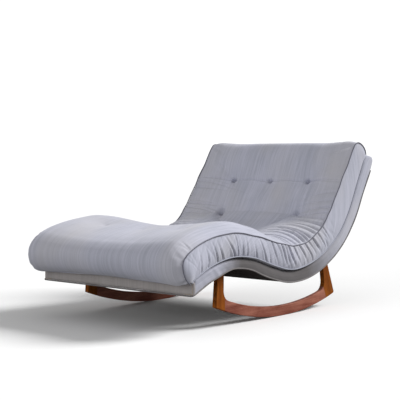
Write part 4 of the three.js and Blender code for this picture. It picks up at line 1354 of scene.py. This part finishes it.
class CHAISE_OT_cushion_welts(bpy.types.Operator):
    """Build the piping along the cushion's four side seams"""

    bl_idname = "chaise.cushion_welts"
    bl_label = "Cushion welts"

    def execute(self, context):
        settings = context.scene.chaise_cushion
        form = CushionForm()
        reach = settings.welt_radius * CUSHION_WELT_SHARE
        flare = form.flare()
        upper = form.upper + form.out * flare[:, None]
        # The upper piping's dark tone is painted shade along the seams.
        seams = (("upper", upper, form.out, piping()), ("lower", form.lower, -form.lower_out, pale_piping()))
        for side, way in SIDES.items():
            for seam, line, out, cloth in seams:
                centres = np.column_stack([way * (form.half + reach + flare), line + out * reach])
                ups = np.column_stack([np.zeros(len(out)), out])
                tube(f"{side}_{seam}_piping", centres, ups, settings.welt_radius, cloth, "cushion",
                     [f"{side}_cushion_{seam}_welt"])
        return {"FINISHED"}


class CHAISE_OT_buttons(bpy.types.Operator):
    """Build the covered buttons in the tufts"""

    bl_idname = "chaise.buttons"
    bl_label = "Buttons"

    def execute(self, context):
        form = CushionForm()
        for tuft in tufts_of(form):
            self.button(form, tuft, context.scene.chaise_cushion.button_radius)
        return {"FINISHED"}

    def button(self, form, tuft, radius):
        """One domed button with its cover drawn in round the rim."""
        rings, sides = 8, 24
        out = np.array([0, *form.out[tuft["station"]]])
        ahead = np.array([0, *form.ahead[tuft["station"]]])
        turn = -np.arange(sides) * 2 * math.pi / sides
        points = []
        for ring in range(rings):
            angle = math.pi * (0.03 + ring / (rings - 1)) * 0.60
            pleat = 1 + 0.035 * np.cos(8 * turn) * (ring / rings) ** 2
            wide = radius * math.sin(angle) * pleat
            up = radius * (0.42 * math.cos(angle) - 0.16)
            rim = np.array(tuft["middle"]) + np.outer(wide * np.cos(turn), (1, 0, 0))
            points.append(rim + np.outer(wide * np.sin(turn), ahead) + out * up)
        piece = new_piece(f"covered_{tuft['node']}", np.concatenate(points), lofted_faces(rings, sides),
                          upholstery(), "cushion", [tuft["node"]])
        spokes = np.linspace(0.1, 1, rings)
        flat = [np.outer(spokes, radius * np.cos(turn)) + CLOTH_PLACES["buttons"],
                np.outer(spokes, radius * np.sin(turn))]
        chart = np.stack(flat, axis=2)
        lay_cloth(piece.data, chart, np.roll(chart, -1, axis=1))


# Base

def crossings(line, origins, directions):
    """Nearest point of a line ahead of each origin."""
    hits = []
    starts, spans = line[:-1], np.diff(line, axis=0)
    for origin, direction in zip(origins, directions):
        cross = direction[0] * spans[:, 1] - direction[1] * spans[:, 0]
        cross = np.where(np.abs(cross) < ZERO, ZERO, cross)
        away = starts - origin
        reach = (away[:, 0] * spans[:, 1] - away[:, 1] * spans[:, 0]) / cross
        share = (away[:, 0] * direction[1] - away[:, 1] * direction[0]) / cross
        reach = np.where((share >= -SLACK) & (share <= 1 + SLACK) & (reach > -SLACK), reach, np.inf)
        hits.append(origin + direction * reach.min())
    return np.array(hits)


class BaseForm:
    """The base's side view at even stations: its upper and lower lines, and the rounded head end."""

    def __init__(self):
        points, _ = solid_points("base_cover")
        self.half = float(points[:, 0].max())
        loop = side_outline("base_cover")
        front = loop[:, 0].min()
        corners = [i for i in range(len(loop)) if loop[i][0] < front + TOUCH]
        low = min(corners, key=lambda i: loop[i][1])
        high = max(corners, key=lambda i: loop[i][1])
        loop = np.roll(loop, -low, axis=0)
        high = (high - low) % len(loop)
        if high == 1:
            loop = np.roll(loop[::-1], 1, axis=0)
            high = len(loop) - 1
        line = even_points(loop[:high + 1], BASE_POINTS)
        back = int(np.argmax(line.sum(axis=1)))
        before = int(np.searchsorted(lengths_along(line), lengths_along(line)[back] - HEAD_LENGTH))
        apex = int(np.argmax(line @ ahead_of(line)[before]))
        lower, upper = line[:apex + 1], line[apex:][::-1]
        count = round(lengths_along(upper)[-1] / BASE_SPACING)
        middle = (even_points(lower, count + 1) + even_points(upper, count + 1)) / 2
        stem = even_points(middle, count + 1)[:-max(5, count // 25)]
        normals = left_of(ahead_of(stem))
        blend = reached(lengths_along(stem), UPRIGHT_LENGTH)[:, None]
        normals = normals * blend + np.array([0.0, 1.0]) * (1 - blend)
        normals /= np.linalg.norm(normals, axis=1)[:, None]
        self.upper = crossings(upper, stem, normals)
        self.lower = crossings(lower, stem, -normals)
        self.upper[0], self.lower[0] = upper[0], lower[0]
        cap = self.head_cap(line, apex)
        self.upper = np.concatenate([self.upper, cap[0]])
        self.lower = np.concatenate([self.lower, cap[1]])
        self.front = front
        self.tip = line[apex]
        self.cap_depth = float(np.linalg.norm(cap[1][0] - line[apex]))

    def head_cap(self, line, apex):
        """Pairs of points that close in on the tip of the head end."""
        first = int(np.argmin(np.linalg.norm(line - self.lower[-1], axis=1)))
        last = int(np.argmin(np.linalg.norm(line - self.upper[-1], axis=1)))
        shares = np.sin(np.linspace(0, math.pi / 2, HEAD_RINGS + 1))[1:]
        low = np.interp(shares, (0, 1), (first, apex - 1))
        high = np.interp(shares, (0, 1), (last, apex + 1))
        index = np.arange(len(line))
        pick = lambda at: np.stack([np.interp(at, index, line[:, k]) for k in (0, 1)], axis=1)
        return pick(high), pick(low)


def base_sections(base):
    """Rings round the base from hem to hem: rings by sides by three."""
    settings = bpy.context.scene.chaise_base
    up = base.upper - base.lower
    thick = np.linalg.norm(up, axis=1)
    up = up / thick[:, None]
    top = np.minimum(settings.edge_round, thick / 2.2)
    bottom = np.minimum(settings.lower_round, thick / 2.2)
    half = base.half - settings.band_inset
    puff = settings.band_puff * reached(thick, FULL_BAND)
    turn = np.linspace(0, math.pi / 2, 6)
    side = [(share * (half - settings.edge_round), 0) for share in DECK_SHARES]
    side += [(half - top * (1 - math.sin(a)), top * (1 - math.cos(a))) for a in turn]
    for share in np.linspace(0, 1, 9)[1:-1]:
        side.append((half + puff * math.sin(math.pi * share), top + (thick - top - bottom) * share))
    side += [(half - bottom * (1 - math.cos(a)), thick - bottom * (1 - math.sin(a))) for a in turn]
    side += [(half - settings.hem * share, thick) for share in (0.5, 1.0)]
    profile = [(-x, drop) for x, drop in side[::-1]] + [(0, 0)] + side
    rings = np.zeros((len(thick), len(profile), 3))
    for k, (x, drop) in enumerate(profile):
        rings[:, k, 0] = x
        rings[:, k, 1:] = base.upper - up * np.broadcast_to(drop, thick.shape)[:, None]
    return rings


class CHAISE_OT_base_cover(bpy.types.Operator):
    """Build the padded band and deck of the base"""

    bl_idname = "chaise.base_cover"
    bl_label = "Base cover"

    def execute(self, context):
        base = BaseForm()
        rings = self.wrinkled(base, self.foot_rounded(base, base_sections(base)))
        count, sides = rings.shape[:2]
        faces = ring_faces(count, sides, closed_rings=False)
        hem = context.scene.chaise_base.hem
        middles = (rings[:, 0] + rings[:, -1]) / 2
        for i, (start, end) in enumerate(zip(middles, middles[1:])):
            at_foot = min(start[1], end[1]) < base.front + hem
            at_head = np.linalg.norm(base.tip - start[1:]) < hem + base.cap_depth
            if at_foot or at_head:
                faces.append((i * sides + sides - 1, i * sides, (i + 1) * sides, (i + 1) * sides + sides - 1))
        faces += end_faces(count, sides)
        piece = new_piece("base_upholstery", rings.reshape(-1, 3), faces, band_cloth(), "base",
                          ["base_cover", "deck_pad"])
        steps = np.linalg.norm(np.diff(rings, axis=1), axis=2)
        round_it = np.concatenate([np.zeros((count, 1)), np.cumsum(steps, axis=1)], axis=1)
        round_it -= round_it[:, sides // 2][:, None]
        along = np.repeat(lengths_along(rings[:, sides // 2])[:, None], sides, axis=1)
        chart = np.stack([round_it + CLOTH_PLACES["base"], along], axis=2)
        lay_cloth(piece.data, chart[:, :-1], chart[:, 1:])
        return {"FINISHED"}

    def foot_rounded(self, base, rings):
        """Adds rings that round the foot face's edges and close it."""
        size = bpy.context.scene.chaise_base.edge_round
        top, bottom = rings[0][:, 2].max(), rings[0][:, 2].min()
        side = np.abs(rings[0][:, 0]).max()
        added = []
        for angle in np.linspace(0, math.pi / 2, 6):
            ring = rings[0].copy()
            inset = size * (1 - math.sin(angle))
            ring[:, 2] = np.clip(ring[:, 2], bottom + inset, top - inset)
            ring[:, 0] = np.clip(ring[:, 0], -side + inset, side - inset)
            ring[:, 1] = base.front + size * (1 - math.cos(angle))
            added.append(ring)
        beyond = rings[:, :, 1].min(axis=1) > base.front + size
        return np.concatenate([np.array(added), rings[beyond]])

    def wrinkled(self, base, rings):
        """Band with its padding uneven and drawn into wrinkles over the front posts."""
        inset = bpy.context.scene.chaise_base.band_inset
        out = np.abs(rings[:, :, 0]) > base.half - inset - BAND_SIDE
        for r, s in zip(*np.nonzero(out)):
            place = rings[r, s]
            way = math.copysign(1, place[0])
            soft = noise.noise(Vector((place[1] * 9, place[2] * 14, way * 3.0)))
            fine = noise.noise(Vector((place[1] * 34 + place[2] * 30, (place[2] - place[1]) * 9, way * 5.0)))
            over_post = bell((place[1] - POST_WRINKLES[0]) / POST_WRINKLES[1])
            rings[r, s, 0] += way * max(0.0, 0.0012 * (1 + soft) + fine * (0.0006 + 0.0050 * over_post))
        return rings


class CHAISE_OT_base_welt(bpy.types.Operator):
    """Build the piping along the base's lower edge"""

    bl_idname = "chaise.base_welt"
    bl_label = "Base welt"

    def execute(self, context):
        base = BaseForm()
        settings = context.scene.chaise_base
        radius = settings.welt_radius
        line = base.lower[:-HEAD_RINGS]
        reach = radius * BASE_WELT_SHARE - settings.lower_round * (1 - math.sqrt(0.5))
        side = line - left_of(ahead_of(line)) * reach
        side[0] = base.lower[0] + (-reach, -reach)
        spots = [(base.half + reach, *point) for point in side[::-1]]
        across = np.linspace(base.half + reach, -base.half - reach, 110)[1:-1]
        spots += [(x, *side[0]) for x in across]
        spots += [(-base.half - reach, *point) for point in side]
        centres = np.array(spots)
        for _ in range(2):
            centres[1:-1] = centres[1:-1] * 0.5 + (centres[:-2] + centres[2:]) * 0.25
        ups = np.tile((0.0, 0.35, 1.0), (len(centres), 1))
        tube("base_piping", centres, ups, radius, band_piping(), "base", ["base_welt"])
        return {"FINISHED"}


class CHAISE_OT_dust_cover(bpy.types.Operator):
    """Build the dark cloth tacked under the base"""

    bl_idname = "chaise.dust_cover"
    bl_label = "Dust cover"

    def execute(self, context):
        lining = plain_cloth_material("dust_cloth", context.scene.chaise_cloth.lining_tone, 300.0, 0.5)
        low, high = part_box("dust_cover")
        hem = BaseForm().lower
        inside = (hem[:, 0] > low.y) & (hem[:, 0] < high.y) & (hem[:, 1] < high.z)
        line = even_line(hem[inside], DUST_SPACING)
        below = -left_of(ahead_of(line))
        wide = self.columns(high.x)
        run = lengths_along(line)
        depth, pitch = DUST_SAG
        sag = depth * np.outer(np.abs(np.sin(run * math.pi / pitch)), 1 - (wide / high.x) ** 8)
        depth, pitch = DUST_SCALLOP
        scallop = depth * np.outer(np.cos(run * 2 * math.pi / pitch), (np.abs(wide) / high.x) ** 30)
        points = []
        for layer in (TOUCH, DUST_THICK):
            spots = np.zeros((len(line), len(wide), 3))
            spots[:, :, 0] = wide + np.sign(wide) * scallop
            spots[:, :, 1:] = line[:, None, :] + below[:, None, :] * (layer + sag)[:, :, None]
            points.append(spots)
        piece = new_piece("dust_cloth", np.concatenate(points).reshape(-1, 3), self.faces(line, wide), lining,
                          "base", ["dust_cover"])
        return {"FINISHED"}

    def columns(self, half):
        """Places across, with a line of points at each edge of the post holes."""
        low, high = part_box("left_rocker_front_post")
        inner, outer = low.x - POST_GAP, high.x + POST_GAP
        side = [outer, (outer + half) / 2, half - DUST_EDGE, half]
        middle = np.linspace(-inner, inner, DUST_COLUMNS)
        return np.array([-x for x in side[::-1]] + list(middle) + side)

    def faces(self, line, wide):
        """Two layers joined at the edges, with a hole where each post passes."""
        middles = (line[:-1] + line[1:]) / 2
        across = np.abs(wide[:-1] + wide[1:]) / 2
        kept = np.ones((len(middles), len(across)), bool)
        for part in ("front", "rear"):
            low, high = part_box(f"left_rocker_{part}_post")
            beside = (low.x - HOLE_ACROSS < across) & (across < high.x + HOLE_ACROSS)
            passed = (low.y - HOLE_ALONG < middles[:, 0]) & (middles[:, 0] < high.y + HOLE_ALONG)
            kept &= ~np.outer(passed & (middles[:, 1] < high.z), beside)
        around = np.pad(kept, 1)
        columns = len(wide)
        layer = len(line) * columns
        faces = []
        for i, k in np.argwhere(kept).tolist():
            start = i * columns + k
            quad = (start, start + 1, start + columns + 1, start + columns)
            faces.append(quad)
            faces.append(tuple(layer + point for point in quad[::-1]))
            for corner, (row, column) in enumerate(((-1, 0), (0, 1), (1, 0), (0, -1))):
                a, b = corner, (corner + 1) % 4
                if not around[i + 1 + row, k + 1 + column]:
                    faces.append((quad[b], quad[a], layer + quad[a], layer + quad[b]))
        return faces


# Rockers and frame

def grain_on(mesh, start, ahead):
    """Grain coordinates: along, across and through the wood, from a start and a direction along it."""
    points = read_points(mesh)
    start, ahead = np.array(start), np.array(ahead) / np.linalg.norm(ahead)
    beside = np.array([0.0, -ahead[2], ahead[1]])
    away = points - start
    return np.column_stack([away @ ahead, away @ beside, points[:, 0]])


class CHAISE_OT_rockers(bpy.types.Operator):
    """Round the rockers' edges and give them their grain"""

    bl_idname = "chaise.rockers"
    bl_label = "Rockers"

    def execute(self, context):
        wood = context.scene.chaise_wood
        post = wood_material("walnut_post", wood.post_light, wood.post_dark, 0.36)
        runner = wood_material("walnut_runner", wood.runner_light, wood.runner_dark, 0.38)
        for side in SIDES:
            for part, grain in GRAIN_WAYS.items():
                material = runner if part == "runner" else post
                self.rounded(f"{side}_rocker_{part}", material, wood.edge_round, grain)
        return {"FINISHED"}

    def rounded(self, node, material, edge_round, grain):
        """A copy of a rocker's solid with rounded edges and smooth arcs."""
        points, triangles = solid_points(node)
        piece = new_piece(f"oiled_{node}", points, triangles.tolist(), material, "base", [node])
        flat = piece.modifiers.new("flat", "DECIMATE")
        flat.decimate_type = "DISSOLVE"
        flat.angle_limit = FLAT_ANGLE
        edge = piece.modifiers.new("edge", "BEVEL")
        edge.width = edge_round
        edge.segments = 3
        edge.limit_method = "ANGLE"
        edge.angle_limit = EDGE_ANGLE
        even = piece.modifiers.new("even", "WEIGHTED_NORMAL")
        even.keep_sharp = False
        mesh = apply_modifiers(piece)
        write_attribute(mesh, "grain", grain_on(mesh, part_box(node)[0], grain))


class CHAISE_OT_hidden_frame(bpy.types.Operator):
    """Finish the wood, webbing, padding and fasteners inside the base"""

    bl_idname = "chaise.hidden_frame"
    bl_label = "Hidden frame"

    def execute(self, context):
        wood = context.scene.chaise_wood
        board = wood_material("frame_board", wood.frame_light, wood.frame_dark, 0.6)
        webbing = plain_cloth_material("jute_webbing", (0.45, 0.33, 0.17), 420.0, 0.35)
        padding = plain_cloth_material("cotton_padding", (0.78, 0.74, 0.63), 150.0, 0.10)
        kinds = {"_rail": board, "_tenon": board, "webbing": webbing, "deck_pad": padding}
        kinds["_bolt"] = kinds["_tee_nut"] = steel_material()
        for node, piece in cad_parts.items():
            for kind, material in kinds.items():
                if kind in node:
                    self.finish(piece, material)
        return {"FINISHED"}

    def finish(self, piece, material):
        """Gives a solid its material and grain."""
        piece.data.materials.clear()
        piece.data.materials.append(material)
        write_attribute(piece.data, "grain", read_points(piece.data)[:, [1, 0, 2]])


# Stage

class CHAISE_OT_stage(bpy.types.Operator):
    """Set up the floor, the lights and the camera"""

    bl_idname = "chaise.stage"
    bl_label = "Stage"

    def execute(self, context):
        settings = context.scene.chaise_stage
        self.camera(context.scene, settings)
        self.floor(settings)
        self.sky(context.scene, settings)
        self.sun("key", settings.key_power, settings.key_spread, settings.key_from)
        self.sun("fill", settings.fill_power, FILL_SPREAD_SHARE * settings.key_spread, settings.fill_from)
        return {"FINISHED"}

    def camera(self, scene, settings):
        """Camera at the photograph's angle."""
        data = bpy.data.cameras.new("camera")
        data.lens = settings.lens
        data.sensor_width = 36.0
        camera = placed("camera", data)
        camera.location = settings.camera_place
        camera.rotation_euler = (math.pi / 2 - settings.camera_dip, 0, settings.camera_turn)
        scene.camera = camera

    def floor(self, settings):
        """Wide pale floor."""
        mesh = bpy.data.meshes.new("floor")
        corners = [(x * FLOOR_REACH, y * FLOOR_REACH, 0) for x, y in ((-1, -1), (1, -1), (1, 1), (-1, 1))]
        mesh.from_pydata(corners, [], [(0, 1, 2, 3)])
        material, tree = new_material("floor_paint")
        patches = object_noise(tree, 1.0)
        paler = scaled_tone(settings.floor_tone, 1.02)
        seen = add_node(tree, "ShaderNodeLightPath").outputs["Is Camera Ray"]
        shown = mixed(tree, patches, settings.floor_tone, paler)
        colour = mixed(tree, seen, settings.floor_bounce, shown)
        surface(tree, **{"Base Color": colour, "Roughness": 0.9, "Specular IOR Level": 0.0})
        mesh.materials.append(material)
        placed("floor", mesh)

    def sky(self, scene, settings):
        """Even light all round, in front of a white backdrop."""
        world = bpy.data.worlds.new("studio")
        world.use_nodes = True
        tree = world.node_tree
        tree.nodes.clear()
        light, backdrop = (
            add_node(tree, "ShaderNodeBackground", {"Color": (1, 1, 1, 1), "Strength": strength})
            for strength in (settings.sky_strength, BACKDROP_STRENGTH)
        )
        seen = add_node(tree, "ShaderNodeLightPath").outputs["Is Camera Ray"]
        both = add_node(tree, "ShaderNodeMixShader", {0: seen, 1: light.outputs[0], 2: backdrop.outputs[0]})
        add_node(tree, "ShaderNodeOutputWorld", {"Surface": both.outputs[0]})
        scene.world = world
        scene.view_settings.view_transform = "Standard"

    def sun(self, name, power, spread, source):
        """Broad soft light from one direction."""
        data = bpy.data.lights.new(name, "SUN")
        data.energy = power
        data.angle = spread
        lamp = placed(name, data)
        lamp.rotation_euler = Vector(source).to_track_quat("Z", "Y").to_euler()


# Add-on

SETTINGS = {
    "chaise_cloth": ChaiseClothSettings,
    "chaise_wood": ChaiseWoodSettings,
    "chaise_cushion": ChaiseCushionSettings,
    "chaise_base": ChaiseBaseSettings,
    "chaise_stage": ChaiseStageSettings,
}
OPERATORS = (
    CHAISE_OT_stage,
    CHAISE_OT_cushion,
    CHAISE_OT_cushion_welts,
    CHAISE_OT_buttons,
    CHAISE_OT_base_cover,
    CHAISE_OT_base_welt,
    CHAISE_OT_dust_cover,
    CHAISE_OT_rockers,
    CHAISE_OT_hidden_frame,
)


class CHAISE_PT_build(bpy.types.Panel):
    """Lists the chaise's pieces"""

    bl_idname = "CHAISE_PT_build"
    bl_label = "Rocking chaise lounge"
    bl_space_type = "VIEW_3D"
    bl_region_type = "UI"
    bl_category = "Chaise"

    def draw(self, context):
        for operator in OPERATORS:
            self.layout.operator(operator.bl_idname)
        for name, group in SETTINGS.items():
            box = self.layout.box()
            box.label(text=group.__doc__)
            for field in group.__annotations__:
                box.prop(getattr(context.scene, name), field)


def register():
    for group in SETTINGS.values():
        bpy.utils.register_class(group)
    for name, group in SETTINGS.items():
        setattr(bpy.types.Scene, name, PointerProperty(type=group))
    for operator in OPERATORS:
        bpy.utils.register_class(operator)
    bpy.utils.register_class(CHAISE_PT_build)


def unregister():
    bpy.utils.unregister_class(CHAISE_PT_build)
    for operator in reversed(OPERATORS):
        bpy.utils.unregister_class(operator)
    for name in SETTINGS:
        delattr(bpy.types.Scene, name)
    for group in reversed(SETTINGS.values()):
        bpy.utils.unregister_class(group)


def main():
    register()
    bpy.ops.chaise.stage()
    bpy.ops.chaise.cushion()
    bpy.ops.chaise.cushion_welts()
    bpy.ops.chaise.buttons()
    bpy.ops.chaise.base_cover()
    bpy.ops.chaise.base_welt()
    bpy.ops.chaise.dust_cover()
    bpy.ops.chaise.rockers()
    bpy.ops.chaise.hidden_frame()


if __name__ == "__main__":
    main()
